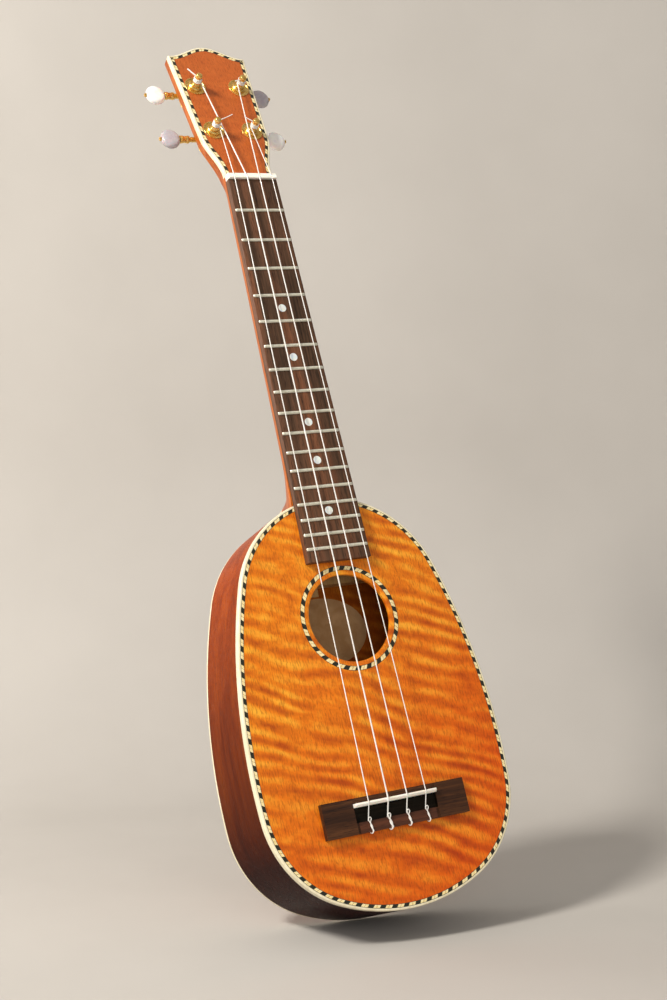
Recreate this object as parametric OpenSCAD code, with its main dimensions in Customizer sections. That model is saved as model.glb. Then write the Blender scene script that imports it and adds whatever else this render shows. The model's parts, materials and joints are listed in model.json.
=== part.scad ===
// Pineapple-shaped concert ukulele with geared tuners, drawn in millimetres.
// The origin is on the flat back, on the centre line, level with the widest part of the body.
// +X is to the right seen from the front, +Y runs out through the back, +Z runs up the neck.

/* [Body] */
// Half of the body's greatest width
body_half_width = 79.7; // [74:0.1:84]
// Distance from the widest part down to the tail
tail_length = 85.5; // [82:0.1:89]
// Radius of the long side curve
side_radius = 344.5; // [335:0.5:355]
// Radius of the round shoulder that meets the neck
shoulder_radius = 66; // [62:0.5:70]
// Radius of each lower corner
corner_radius = 61; // [56:0.5:66]
// Radius of the tail curve
tail_radius = 103.2; // [98:0.1:110]
// Depth of the body at the widest part, soundboard to back
body_depth = 55; // [50:0.5:60]
// Lean of the back towards the soundboard as it runs up the neck, in degrees
back_taper = 2.86; // [2:0.01:3.5]
// Thickness of the soundboard
top_t = 2.1; // [1.8:0.1:2.4]
// Thickness of the back
back_t = 2.1; // [1.8:0.1:2.4]
// Thickness of the bent sides
side_t = 1.9; // [1.7:0.1:2.2]

/* [Edge trim] */
// Width of the binding on the soundboard, back and headplate faces
binding_w = 1.3; // [1:0.1:1.5]
// Height of the soundboard binding down the side
top_binding_h = 4; // [3:0.1:5]
// Height of the back binding up the side
back_binding_h = 2.4; // [2.3:0.1:4]
// Width of the inlaid rope strip next to the binding
purfling_w = 2.1; // [1.6:0.1:2.4]
// Depth of the inlaid rope strip
purfling_d = 1.2; // [0.8:0.1:1.4]

/* [Soundhole] */
// Distance from the nut to the centre of the soundhole
soundhole_from_nut = 279.8; // [278:0.1:282]
// Radius of the soundhole
soundhole_r = 25.7; // [23:0.1:26]
// Outer radius of the rope ring around the soundhole
rosette_r = 31.1; // [30:0.1:32]
// Width of the rope ring
rosette_w = 2.7; // [2:0.1:3]

/* [Neck and fretboard] */
// Vibrating string length
scale_length = 381; // [379:0.5:383]
// Extra string length at the saddle, for tuning
saddle_setback = 4; // [3.4:0.1:4.4]
// Height of the nut above the origin
nut_z = 359.2; // [358:0.1:361]
// Number of frets
fret_count = 17; // [14:1:17]
// Width of the fretboard at the nut
board_w_nut = 32.8; // [32:0.1:34]
// Width of the fretboard at its soundhole end
board_w_end = 41; // [40:0.1:42]
// Distance from the nut to the soundhole end of the fretboard
board_length = 246.1; // [245:0.1:247]
// Thickness of the fretboard
board_t = 4.5; // [4:0.1:5]
// Depth of the neck under the fretboard at the nut
neck_d_nut = 12.5; // [11.5:0.1:14]
// Depth of the neck under the fretboard at the heel
neck_d_heel = 15; // [14:0.1:17]

/* [Headstock] */
// Lean of the headstock behind the fretboard, in degrees
head_tilt = 12.4; // [11:0.1:14]
// Total thickness of the headstock
head_t = 10; // [9.5:0.1:11]
// Thickness of the headplate veneer
headplate_t = 2; // [1.6:0.1:2.4]
// Half width of the headstock at the nut
head_half_w_nut = 16.2; // [16:0.1:16.8]
// Half width of the headstock where the flare ends
head_half_w_flare = 23.3; // [22.5:0.1:24]
// Half width of the headstock at the top corners
head_half_w_top = 26.5; // [26:0.1:27.5]
// Length of the headstock to its top corners
head_corner_u = 100.3; // [98:0.1:102]
// Rise of the crest above the top corners
head_crest = 8.8; // [7:0.1:10]

/* [Tuners] */
// Offset of the two lower posts from the centre line
post_x_lower = 13.1; // [12.6:0.1:13.5]
// Offset of the two upper posts from the centre line
post_x_upper = 15.1; // [14.8:0.1:15.2]
// Distance of the lower posts up the headstock
post_u_lower = 37.1; // [36:0.1:38]
// Distance of the upper posts up the headstock
post_u_upper = 74.1; // [73:0.1:75]
// Height of the post tops above the headplate
post_h = 10.6; // [10.4:0.1:11.5]
// Distance of each button's centre from the centre line
button_x = 36.6; // [36:0.1:38]

/* [Bridge] */
// Half length of the bridge
bridge_half_l = 45.3; // [44:0.1:48]
// Half length of the saddle and of the tie block
saddle_half_l = 26.1; // [25:0.1:27.5]
// Height of the bridge wings
wing_h = 3.6; // [3.4:0.1:4.4]
// Height of the tie block
tie_h = 3.2; // [3.1:0.1:3.5]
// Height of the saddle above the soundboard
saddle_h = 7.1; // [6.9:0.1:7.5]

/* [Strings] */
// Spacing of the strings at the nut
nut_spacing = 8.43; // [8.2:0.01:8.6]
// Spacing of the strings at the saddle
saddle_spacing = 12.19; // [12:0.01:12.4]

/* [Hidden] */

$fn = 48;
far = 400;                    // longer than anything a cutter has to pass
deep = 90;                    // depth below the soundboard that passes the back
touch = 0.02;                 // gap that keeps pressed pieces from sharing volume

// Body construction
side_centre = [body_half_width - side_radius, 0];
shoulder_centre = [0, sqrt(pow(side_radius - shoulder_radius, 2) - pow(side_centre.x, 2))];
tail_centre = [0, tail_radius - tail_length];
corner_centre = lower_meeting(
    side_centre, side_radius - corner_radius, tail_centre, tail_radius - corner_radius);
soundhole_z = nut_z - soundhole_from_nut;
lining_w = 5;
lining_h = 7;
block_half_w = 22;
neck_block_z = 134;
tail_block_z = 14 - tail_length;
brace_w = 6;
top_brace_h = 7;
fan_brace_h = 5;
back_brace_h = 8;
brace_z_upper = 112;
brace_z_lower = 42;
brace_z_tail = -24;
fan_x = 24;
fan_w = 5;
fan_end_z = -64;
plate_half_l = 38;
plate_t = 1.8;
strip_t = 1.2;
strip_half_w = 7;
label_centre = [5, 82];
label_radii = [30, 21];
label_t = 0.25;

// Fretboard details
fret_crown_w = 1.9;
fret_crown_h = 0.9;
fret_tang_w = 0.5;
fret_tang_d = 1.5;
dot_r = 2.5;
dot_t = 1;
dot_frets = [5, 7, 10, 12, 15];
nut_t = 4;
nut_h = board_t + 1.9;
string_bottom_nut = board_t + 1.45;

// Heel slices from the shaft to the cap: depth, half width and reach from its root in the block
heel_root_z = 138;
heel_slices = [[9, 19, 50], [19, 17.2, 34], [32, 14.5, 27.5], [44.5, 12.5, 24.5]];

// Headstock frame: u runs up the face, w stands out of it
face_rise = 1.3;              // headplate face in front of the soundboard plane, at the nut
head_y = -body_depth - face_rise;
head_z = nut_z + nut_t;
head_binding_h = 3.4;
flare_start_u = 3;
flare_end_u = 33;

// Tuner details
tuner_x = [-post_x_lower, -post_x_upper, post_x_upper, post_x_lower];
tuner_u = [post_u_lower, post_u_upper, post_u_upper, post_u_lower];
bushing_hole_r = 4;
bushing_bore_r = 3;
post_r = 2.94;
post_waist_r = 1.9;
post_cap_r = 2.25;
washer_r = 7;
washer_t = 0.6;
flange_r = 4.5;
flange_top = 1.9;
plate_metal_t = 1;
plate_hole_r = 3;
wheel_teeth = 14;
thread_pitch = 1.6;
wheel_pitch_r = wheel_teeth * thread_pitch / (2 * PI);
worm_pitch_r = 1.735;
worm_offset = wheel_pitch_r + worm_pitch_r;
worm_root_r = 1.25;
worm_tip_r = 2.15;
worm_length = 3 * thread_pitch;
worm_depth = 4.4;             // worm axis behind the headstock
wheel_tip_r = 3.9;
wheel_root_r = 3;
wheel_t = 2.2;
stub_r = 1.5;                 // post end inside the wheel
shaft_r = 1.1;
lug_gap = 0.15;
lug_t = 1.2;
lug_half_w = 1.9;
lug_depth = worm_depth + 2.2;
button_radii = [6.3, 7];
button_t = 5.6;
button_layers = [[0.8, 0], [1.9, 0.35], [button_t / 2, 1.6]];  // half thickness and inset
pin_r = 1;
pin_seat = 3.5;               // length of a button's end pin inside the button
pin_proud = 1.1;              // length that stands out, with its chamfer
pin_chamfer = 0.3;
base_half_w = 8.4;
base_low_u = -9.2;            // ends of a base plate below and above its post
base_high_u = 13;
screw_u = [-6.4, 10.2];       // plate screws below and above each post
screw_r = 0.78;
screw_length = 4.5;           // length of a plate screw in the headstock
screw_hole_r = 0.8;
screw_hole_d = 5.1;
screw_head_r = 1.6;
screw_head_t = 0.9;
screw_slot_w = 0.4;
wheel_screw_r = 0.8;
wheel_screw_length = 3.8;
string_hole_r = 0.55;

// Bridge and string details
saddle_z = nut_z - scale_length - saddle_setback;
saddle_t = 2.2;
ledge_w = 3.1;
recess_w = 8.2;
tie_w = 6;
bridge_top_z = saddle_z + saddle_t / 2 + ledge_w;
recess_z = saddle_z - saddle_t / 2;
tie_z = recess_z - recess_w;
bridge_bottom_z = tie_z - tie_w;
ledge_h = 3.2;
recess_h = 1.2;
string_r = [0.31, 0.43, 0.36, 0.28];
tie_hole_h = 2;
winding_turns = [5, 3, 4, 5];
string_post_w = 4.3;          // height of the string above the headplate at its post
tail_angles = [26, 129, 200, 145];
tail_lengths = [13, 9, 6, 8];

// ---- Functions ----

// Lower of the two points where two circles meet
function lower_meeting(c0, r0, c1, r1) =
    let (
        d = norm(c1 - c0),
        along = (r0 * r0 - r1 * r1 + d * d) / (2 * d),
        aside = sqrt(r0 * r0 - along * along),
        dir = (c1 - c0) / d
    )
    c0 + along * dir + aside * [dir.y, -dir.x];

function unit(v) = v / norm(v);

function angle_from(c, p) = atan2(p.y - c.y, p.x - c.x);

// Points along an arc from a0 to a1, without the first
function arc(c, r, a0, a1, steps) =
    [for (i = [1:steps]) let (a = a0 + (a1 - a0) * i / steps) c + r * [cos(a), sin(a)]];

function mirrored(points) =
    concat(points, [for (i = [len(points) - 1:-1:0]) if (points[i].x > 0.001) [-points[i].x, points[i].y]]);

// Body outline, moved inwards by the inset; the four arcs of each half stay tangent
function body_path(inset = 0) =
    let (
        a_side = angle_from(side_centre, shoulder_centre),
        a_corner = angle_from(side_centre, corner_centre),
        a_tail = angle_from(tail_centre, corner_centre)
    )
    mirrored(concat(
        [shoulder_centre + (shoulder_radius - inset) * [0, 1]],
        arc(shoulder_centre, shoulder_radius - inset, 90, a_side, 18),
        arc(side_centre, side_radius - inset, a_side, a_corner, 14),
        arc(corner_centre, corner_radius - inset, a_corner, a_tail, 15),
        arc(tail_centre, tail_radius - inset, a_tail, -90, 7)
    ));

function fret_z(n) = nut_z - scale_length * (1 - pow(2, -n / 12));
function board_half_w(z) =
    (board_w_nut + (board_w_end - board_w_nut) * (nut_z - z) / board_length) / 2;
function smooth_step(t) = t * t * (3 - 2 * t);

// Right edge of the headstock from the nut to the crest, as [x, u]
function head_edge() =
    let (rise = head_half_w_flare - head_half_w_nut)
    concat(
        [[head_half_w_nut, 0]],
        [for (i = [0:10]) let (t = i / 10)
            [head_half_w_nut + rise * smooth_step(t), flare_start_u + t * (flare_end_u - flare_start_u)]],
        [[head_half_w_top, head_corner_u]],
        [for (i = [1:12]) let (x = head_half_w_top * (1 - i / 12))
            [x, head_corner_u + head_crest / 2 * (1 + cos(180 * x / head_half_w_top))]]
    );

// Move an edge inwards by d, keeping corners sharp; the run starts straight and ends on the centre line
function inset_edge(p, d) =
    [for (i = [0:len(p) - 1])
        let (
            before = i == 0 ? [0, 1] : (p[i] - p[i - 1]) / norm(p[i] - p[i - 1]),
            after = i == len(p) - 1 ? [-1, 0] : (p[i + 1] - p[i]) / norm(p[i + 1] - p[i]),
            n0 = [-before.y, before.x],
            n1 = [-after.y, after.x]
        )
        p[i] + d * (n0 + n1) / (1 + n0 * n1)];

// Headstock outline moved inwards by the inset, run on below the nut so that it can be cut off there
function head_path(inset = 0) =
    let (edge = inset_edge(head_edge(), inset))
    mirrored(concat([[head_half_w_nut - inset, -12]], edge));

function ellipse(c, radii, steps = 36) =
    [for (i = [0:steps - 1]) let (a = 360 * i / steps) c + [radii.x * cos(a), radii.y * sin(a)]];

function head_point(x, u, w) = [
    x,
    head_y + u * sin(head_tilt) - w * cos(head_tilt),
    head_z + u * cos(head_tilt) + w * sin(head_tilt)
];
function head_local(p) =
    let (dy = p.y - head_y, dz = p.z - head_z)
    [p.x, dy * sin(head_tilt) + dz * cos(head_tilt), dz * sin(head_tilt) - dy * cos(head_tilt)];

function top_point(x, h, z) = [x, -body_depth - h, z];
function string_x(i, spacing) = (i - 1.5) * spacing;
function nut_point(i) =
    top_point(string_x(i, nut_spacing), string_bottom_nut + string_r[i], nut_z + 0.8);

// Point where string i leaves its post, on the side that faces the centre line
function post_tangent(i) =
    let (
        start = head_local(nut_point(i)),
        post = [tuner_x[i], tuner_u[i]],
        reach = [start.x, start.y] - post,
        r = post_waist_r + string_r[i] + 0.04,
        lean = acos(r / norm(reach)),
        a = atan2(reach.y, reach.x) + (tuner_x[i] < 0 ? lean : -lean)
    )
    head_point(post.x + r * cos(a), post.y + r * sin(a), string_post_w);

// String i from its loop over the tie block to its post
function string_path(i) =
    let (x = string_x(i, saddle_spacing), over = tie_h + string_r[i] + 0.1)
    [
        top_point(x, over, tie_z + 0.8),
        top_point(x, over, bridge_bottom_z - 0.9),
        top_point(x, tie_hole_h, bridge_bottom_z - 0.9),
        top_point(x, tie_hole_h, tie_z + 0.6),
        top_point(x, saddle_h + string_r[i], saddle_z),
        nut_point(i),
        post_tangent(i)
    ];

// Height of a winding turn above the headplate
function turn_w(i, turn) = string_post_w + (turn + 1) * (2 * string_r[i] + touch);

// Height of the string hole above the headplate, just over the last turn of the winding
function tail_w(i) = turn_w(i, winding_turns[i] - 1) + 2 * string_r[i] + 0.1;

// ---- Placing and shaping helpers ----

// X stays, local Y runs up the neck and local Z stands out of the soundboard
module on_top() {
    translate([0, -body_depth, 0]) rotate([90, 0, 0]) children();
}

// X stays, local Y runs up the headstock and local Z stands out of its face
module at_head() {
    translate([0, head_y, head_z]) rotate([90 - head_tilt, 0, 0]) children();
}

// As at_head, with the origin on the back of the headstock under post i
module at_tuner(i) {
    at_head() translate([tuner_x[i], tuner_u[i], -head_t]) children();
}

// Worm axis of tuner i; local Z runs along +X
module at_worm(i) {
    at_tuner(i) translate([0, worm_offset, -worm_depth]) rotate([0, 90, 0]) children();
}

// As at_worm, with local Z running outboard to the button
module at_knob(i) {
    at_worm(i) mirror([0, 0, tuner_x[i] < 0 ? 1 : 0]) children();
}

// Everything in front of the plane that lies d inside the back face
module before_back(d) {
    rotate([back_taper, 0, 0]) translate([-far / 2, -far - d, -far / 2]) cube(far);
}

// Solid with the body's outline, between two depths below the soundboard face
module body_solid(inset, from, to) {
    on_top() translate([0, 0, -to]) linear_extrude(to - from) polygon(body_path(inset));
}

module body_ring(outer, inner, from, to) {
    on_top() translate([0, 0, -to]) linear_extrude(to - from) difference() {
        polygon(body_path(outer));
        polygon(body_path(inner));
    }
}

// Part of the children between two distances inside the back face
module back_layer(from, to) {
    difference() {
        intersection() {
            children();
            before_back(from);
        }
        before_back(to);
    }
}

module top_box(x0, x1, z0, z1, from, to) {
    on_top() translate([x0, z0, -to]) cube([x1 - x0, z1 - z0, to - from]);
}

// Bar across the instrument with a profile of [z, height above the soundboard] points
module long_bar(half_l, profile) {
    translate([-half_l, -body_depth, 0]) rotate([90, 0, 90]) linear_extrude(2 * half_l)
        polygon([for (p = profile) [-p[1], p[0]]]);
}

module rod(p, q, r) {
    v = q - p;
    translate(p) rotate([0, acos(v.z / norm(v)), atan2(v.y, v.x)]) cylinder(h = norm(v), r = r);
}

// Ring of points around p, square to t and stretched in the plane of a bend to keep a tube round
function ring(p, t, stretch, r, sides) =
    let (u = unit(cross(t, [1, 0, 0])), v = cross(u, t))
    [for (k = [0:sides - 1]) let (a = 360 * k / sides) p + r * (stretch * cos(a) * u + sin(a) * v)];

// Round wire along a list of points, mitred at its bends
module wire(points, r, sides = 12) {
    last = len(points) - 1;
    runs = [for (i = [0:last - 1]) unit(points[i + 1] - points[i])];
    rings = [
        for (i = [0:last])
            let (t = unit(runs[max(i - 1, 0)] + runs[min(i, last - 1)]))
            each ring(points[i], t, 1 / (t * runs[min(i, last - 1)]), r, sides)
    ];
    walls = [
        for (i = [0:last - 1], k = [0:sides - 1])
            let (a = i * sides + k, b = i * sides + (k + 1) % sides)
            each [[a, a + sides, b], [b, a + sides, b + sides]]
    ];
    ends = [[for (k = [0:sides - 1]) k], [for (k = [sides - 1:-1:0]) last * sides + k]];
    polyhedron(rings, concat(walls, ends));
}

module above_nut() {
    translate([-far / 2, -far / 2 - body_depth, nut_z + nut_t]) cube(far);
}

// ---- Body ----

module purfling_groove(depth) {
    body_ring(binding_w, binding_w + purfling_w, -1, depth);
}

module soundboard() {
    color("#d9822b") difference() {
        body_solid(binding_w, 0, top_t);
        purfling_groove(purfling_d);
        on_top() translate([0, soundhole_z, -top_t - 1]) cylinder(h = top_t + 2, r = soundhole_r);
        on_top() translate([0, soundhole_z, -purfling_d]) difference() {
            cylinder(h = purfling_d + 1, r = rosette_r);
            translate([0, 0, -1]) cylinder(h = purfling_d + 3, r = rosette_r - rosette_w);
        }
    }
}

module back() {
    color("#8a3c1a") back_layer(0, back_t) body_solid(binding_w, 0, deep);
}

module bent_side(mirror_x) {
    color("#8f4119") difference() {
        back_layer(back_t, far / 4) body_ring(0, side_t, top_t, deep);
        body_ring(-1, binding_w, 0, top_binding_h);
        back_layer(0, back_binding_h) body_ring(-1, binding_w, 0, deep);
        mirror([mirror_x, 0, 0]) translate([0, -far / 2, -far / 2]) cube(far);
    }
}

module neck_block() {
    color("#c69a6b") back_layer(back_t, far / 4) intersection() {
        body_solid(side_t, top_t, deep);
        top_box(-block_half_w, block_half_w, neck_block_z, far, 0, deep);
    }
}

module tail_block() {
    color("#c69a6b") back_layer(back_t, far / 4) intersection() {
        body_solid(side_t, top_t, deep);
        top_box(-block_half_w, block_half_w, -far, tail_block_z, 0, deep);
    }
}

module linings() {
    color("#d8b483") difference() {
        union() {
            body_ring(side_t, side_t + lining_w, top_t, top_t + lining_h);
            back_layer(back_t, back_t + lining_h) body_ring(side_t, side_t + lining_w, 0, deep);
        }
        top_box(-block_half_w, block_half_w, neck_block_z, far / 2, 0, deep);
        top_box(-block_half_w, block_half_w, -far / 2, tail_block_z, 0, deep);
    }
}

module soundboard_braces() {
    color("#e0c08c") {
        for (z = [brace_z_upper, brace_z_lower]) {
            intersection() {
                body_solid(side_t + lining_w, top_t, deep);
                top_box(-far, far, z - brace_w / 2, z + brace_w / 2, top_t, top_t + top_brace_h);
            }
        }
        for (x = [-fan_x, 0, fan_x]) {
            difference() {
                top_box(
                    x - fan_w / 2, x + fan_w / 2, fan_end_z, brace_z_lower - brace_w / 2 - touch,
                    top_t, top_t + fan_brace_h);
                bridge_plate();
            }
        }
    }
}

module bridge_plate() {
    color("#a5672f")
        top_box(-plate_half_l, plate_half_l, bridge_bottom_z - 5, bridge_top_z + 5, top_t, top_t + plate_t);
}

module back_braces() {
    color("#e0c08c") for (z = [brace_z_upper, brace_z_lower, brace_z_tail]) {
        back_layer(back_t, back_t + back_brace_h) intersection() {
            body_solid(side_t + lining_w, 0, deep);
            top_box(-far, far, z - brace_w / 2, z + brace_w / 2, 0, deep);
        }
    }
}

module back_strip() {
    label_gap = label_radii.y + 1;
    color("#c69a6b") difference() {
        back_layer(back_t, back_t + strip_t)
            top_box(-strip_half_w, strip_half_w, tail_block_z, neck_block_z, 0, deep);
        back_braces();
        top_box(-far / 2, far / 2, label_centre.y - label_gap, label_centre.y + label_gap, 0, deep);
    }
}

module top_binding() {
    color("#efe6c4") body_ring(0, binding_w, 0, top_binding_h);
}

module back_binding() {
    color("#efe6c4") back_layer(0, back_binding_h) body_ring(0, binding_w, 0, deep);
}

module top_purfling() {
    color("#30352b") body_ring(binding_w, binding_w + purfling_w, 0, purfling_d);
}

module rosette() {
    color("#30352b") on_top() translate([0, soundhole_z, -purfling_d]) difference() {
        cylinder(h = purfling_d, r = rosette_r);
        translate([0, 0, -1]) cylinder(h = purfling_d + 2, r = rosette_r - rosette_w);
    }
}

module label() {
    color("#e9dfc6") back_layer(back_t, back_t + label_t)
        on_top() translate([0, 0, -deep]) linear_extrude(deep) polygon(ellipse(label_centre, label_radii));
}

// ---- Neck and fretboard ----

// Thin half-ellipse slice of the neck, flat side on the soundboard plane
module neck_slice(z, half_w, depth) {
    translate([0, -body_depth, z]) linear_extrude(0.05)
        polygon([for (i = [0:16]) let (a = 180 * i / 16) [half_w * cos(a), depth * sin(a)]]);
}

// Thin plan slice of the heel at a depth below the soundboard plane
module heel_slice(depth, half_w, reach) {
    on_top() translate([0, 0, -depth]) linear_extrude(0.05)
        polygon(ellipse([0, heel_root_z], [half_w, reach], 32));
}

module heel_solid() {
    for (i = [0:len(heel_slices) - 2]) {
        a = heel_slices[i];
        b = heel_slices[i + 1];
        hull() {
            heel_slice(a[0], a[1], a[2]);
            heel_slice(b[0], b[1], b[2]);
        }
    }
}

module neck_shaft() {
    hull() {
        neck_slice(neck_block_z, board_half_w(neck_block_z), neck_d_heel);
        neck_slice(nut_z - 2, board_half_w(nut_z - 2), neck_d_nut);
    }
    hull() {
        neck_slice(nut_z - 2, board_half_w(nut_z - 2), neck_d_nut);
        neck_slice(nut_z + nut_t, head_half_w_nut, neck_d_nut - 0.8);
        at_head() translate([-head_half_w_nut, 9, -head_t])
            cube([2 * head_half_w_nut, 0.05, head_t - headplate_t]);
    }
}

module head_wood() {
    at_head() translate([0, 0, -head_t]) linear_extrude(head_t - headplate_t) difference() {
        polygon(head_path());
        translate([-far / 2, -far]) square(far);
    }
}

module neck() {
    color("#9c4a24") difference() {
        union() {
            neck_shaft();
            heel_solid();
            head_wood();
        }
        body_solid(0, -1, deep);
        intersection() {
            at_head() translate([-far / 2, -far / 2, -headplate_t]) cube(far);
            above_nut();
        }
        head_trim(0, binding_w, -head_binding_h, 0);
        for (i = [0:3]) {
            at_tuner(i) translate([0, 0, -1]) cylinder(h = head_t + 2, r = bushing_hole_r);
            for (u = screw_u) {
                at_tuner(i) translate([0, u, -1]) cylinder(h = screw_hole_d + 1, r = screw_hole_r);
            }
        }
    }
}

module heel_cap() {
    last = heel_slices[len(heel_slices) - 1];
    color("#efe6c4") difference() {
        on_top() translate([0, 0, -last[0] - 1.65]) linear_extrude(1.6)
            polygon(ellipse([0, heel_root_z], [last[1], last[2]], 32));
        body_solid(0, 0, deep);
    }
}

module fretboard() {
    end_z = nut_z - board_length;
    color("#4b2e22") difference() {
        on_top() linear_extrude(board_t) polygon([
            [-board_w_nut / 2, nut_z],
            [board_w_nut / 2, nut_z],
            [board_w_end / 2, end_z],
            [-board_w_end / 2, end_z]
        ]);
        for (n = [1:fret_count]) {
            on_top() translate([-far / 2, fret_z(n) - fret_tang_w / 2, board_t - fret_tang_d - touch])
                cube([far, fret_tang_w, fret_tang_d + 1]);
        }
        for (n = dot_frets) {
            on_top() translate([0, (fret_z(n) + fret_z(n - 1)) / 2, board_t - dot_t])
                cylinder(h = dot_t + 1, r = dot_r);
        }
    }
}

module frets() {
    crown = [for (i = [0:8]) let (a = 180 * i / 8) [fret_crown_w / 2 * cos(a), fret_crown_h * sin(a)]];
    color("#d8d8d0") for (n = [1:fret_count]) {
        half_l = board_half_w(fret_z(n)) - 0.5;
        translate([-half_l, -body_depth - board_t, fret_z(n)]) rotate([90, 0, 90])
            linear_extrude(2 * half_l) rotate(90) union() {
                polygon(crown);
                translate([-fret_tang_w / 2, -fret_tang_d]) square([fret_tang_w, fret_tang_d + 0.1]);
            }
    }
}

module position_dots() {
    color("#f2efe4") for (n = dot_frets) {
        on_top() translate([0, (fret_z(n) + fret_z(n - 1)) / 2, board_t - dot_t])
            cylinder(h = dot_t, r = dot_r - touch);
    }
}

module nut() {
    color("#fbf8ee") difference() {
        long_bar(head_half_w_nut, [
            [nut_z, 0],
            [nut_z, nut_h],
            [nut_z + 1.2, nut_h],
            [nut_z + nut_t, nut_h - 1.2],
            [nut_z + nut_t, 0]
        ]);
        for (i = [0:3]) {
            path = string_path(i);
            x = nut_point(i).x;
            half_slot = string_r[i] + 0.04;
            top_box(x - half_slot, x + half_slot, nut_z - 1, nut_z + 0.82, -far, touch - string_bottom_nut);
            rod(path[5], path[6], half_slot);
        }
    }
}

// ---- Headstock ----

// Trim along the headstock edge between two insets and two heights, from the nut upwards
module head_trim(outer, inner, from, to) {
    intersection() {
        at_head() translate([0, 0, from]) linear_extrude(to - from) difference() {
            polygon(head_path(outer));
            polygon(head_path(inner));
        }
        above_nut();
    }
}

module headplate() {
    color("#b4501f") difference() {
        intersection() {
            at_head() translate([0, 0, -headplate_t]) linear_extrude(headplate_t)
                polygon(head_path(binding_w));
            above_nut();
        }
        head_trim(binding_w, binding_w + purfling_w, -purfling_d, 1);
        for (i = [0:3]) {
            at_tuner(i) translate([0, 0, -1]) cylinder(h = head_t + 2, r = bushing_hole_r);
        }
    }
}

module head_binding() {
    color("#efe6c4") head_trim(0, binding_w, -head_binding_h, 0);
}

module head_purfling() {
    color("#30352b") head_trim(binding_w, binding_w + purfling_w, -purfling_d, 0);
}

// ---- Bridge and strings ----

module bridge() {
    top = bridge_top_z;
    color("#45281d") difference() {
        union() {
            top_box(-bridge_half_l, -saddle_half_l, bridge_bottom_z, top, -wing_h, 0);
            top_box(saddle_half_l, bridge_half_l, bridge_bottom_z, top, -wing_h, 0);
            top_box(-saddle_half_l, saddle_half_l, recess_z, top, -ledge_h, 0);
            top_box(-saddle_half_l, saddle_half_l, tie_z, recess_z, -recess_h, 0);
            top_box(-saddle_half_l, saddle_half_l, bridge_bottom_z, tie_z, -tie_h, 0);
        }
        top_box(-saddle_half_l, saddle_half_l, recess_z, recess_z + saddle_t, -far, -recess_h);
        for (i = [0:3]) {
            rod(string_path(i)[2], string_path(i)[3], string_r[i] + 0.15);
        }
    }
}

// Crowned under the strings and falling away steeply behind them
module saddle() {
    half_l = saddle_half_l - touch;
    front_z = recess_z + saddle_t - touch;
    crown = saddle_h - touch;
    color("#f4ecd2") long_bar(half_l, [
        [recess_z + touch, recess_h],
        [front_z, recess_h],
        [front_z, crown - 0.4],
        [front_z - 0.4, crown],
        [saddle_z + 0.2, crown],
        [recess_z + touch, crown - (saddle_t / 2 + 0.2) * tan(38)]
    ]);
}

module strings() {
    color("#efe9e0") for (i = [0:3]) {
        wire(string_path(i), string_r[i]);
    }
}

// ---- Tuners ----

module tuner_washers() {
    color("#d9a441") for (i = [0:3]) {
        at_tuner(i) translate([0, 0, head_t]) difference() {
            cylinder(h = washer_t, r = washer_r);
            translate([0, 0, -1]) cylinder(h = washer_t + 2, r = bushing_hole_r);
        }
    }
}

module tuner_bushings() {
    color("#d9a441") for (i = [0:3]) {
        at_tuner(i) difference() {
            union() {
                translate([0, 0, 0.3]) cylinder(h = head_t + washer_t, r = bushing_hole_r - touch);
                translate([0, 0, head_t + washer_t]) cylinder(h = flange_top - washer_t, r = flange_r);
            }
            translate([0, 0, -1]) cylinder(h = head_t + 5, r = bushing_bore_r);
        }
    }
}

module tuner_plates() {
    lug_x = worm_length / 2 + lug_gap;
    color("#d0983a") for (i = [0:3]) {
        at_tuner(i) difference() {
            union() {
                plate_outline(base_half_w, base_low_u, base_high_u, plate_metal_t);
                for (s = [-1, 1]) {
                    translate([s > 0 ? lug_x : -lug_x - lug_t, worm_offset - lug_half_w, -lug_depth])
                        cube([lug_t, 2 * lug_half_w, lug_depth - plate_metal_t / 2]);
                }
            }
            translate([0, 0, -plate_metal_t - 1]) cylinder(h = plate_metal_t + 2, r = plate_hole_r);
            for (u = screw_u) {
                translate([0, u, -plate_metal_t - 1])
                    cylinder(h = plate_metal_t + 2, r = screw_hole_r + 0.05);
            }
            translate([-far / 2, worm_offset, -worm_depth]) rotate([0, 90, 0])
                cylinder(h = far, r = shaft_r + 0.05);
        }
    }
}

// Flat base of a tuner with its corners cut, below the back of the headstock
module plate_outline(half_w, u0, u1, t) {
    cut = 3;
    translate([0, 0, -t]) linear_extrude(t) polygon([
        [-half_w, u0 + cut],
        [-half_w + cut, u0],
        [half_w - cut, u0],
        [half_w, u0 + cut],
        [half_w, u1 - cut],
        [half_w - cut, u1],
        [-half_w + cut, u1],
        [-half_w, u1 - cut]
    ]);
}

module plate_screws() {
    color("#d9a441") for (i = [0:3]) {
        for (u = screw_u) {
            at_tuner(i) translate([0, u, 0]) difference() {
                union() {
                    translate([0, 0, -plate_metal_t])
                        cylinder(h = plate_metal_t + screw_length, r = screw_r);
                    translate([0, 0, -plate_metal_t - screw_head_t])
                        cylinder(h = screw_head_t, r1 = screw_head_r - 0.5, r2 = screw_head_r);
                }
                translate([-3, -screw_slot_w / 2, -plate_metal_t - 1.2]) cube([6, screw_slot_w, 0.7]);
            }
        }
    }
}

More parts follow.
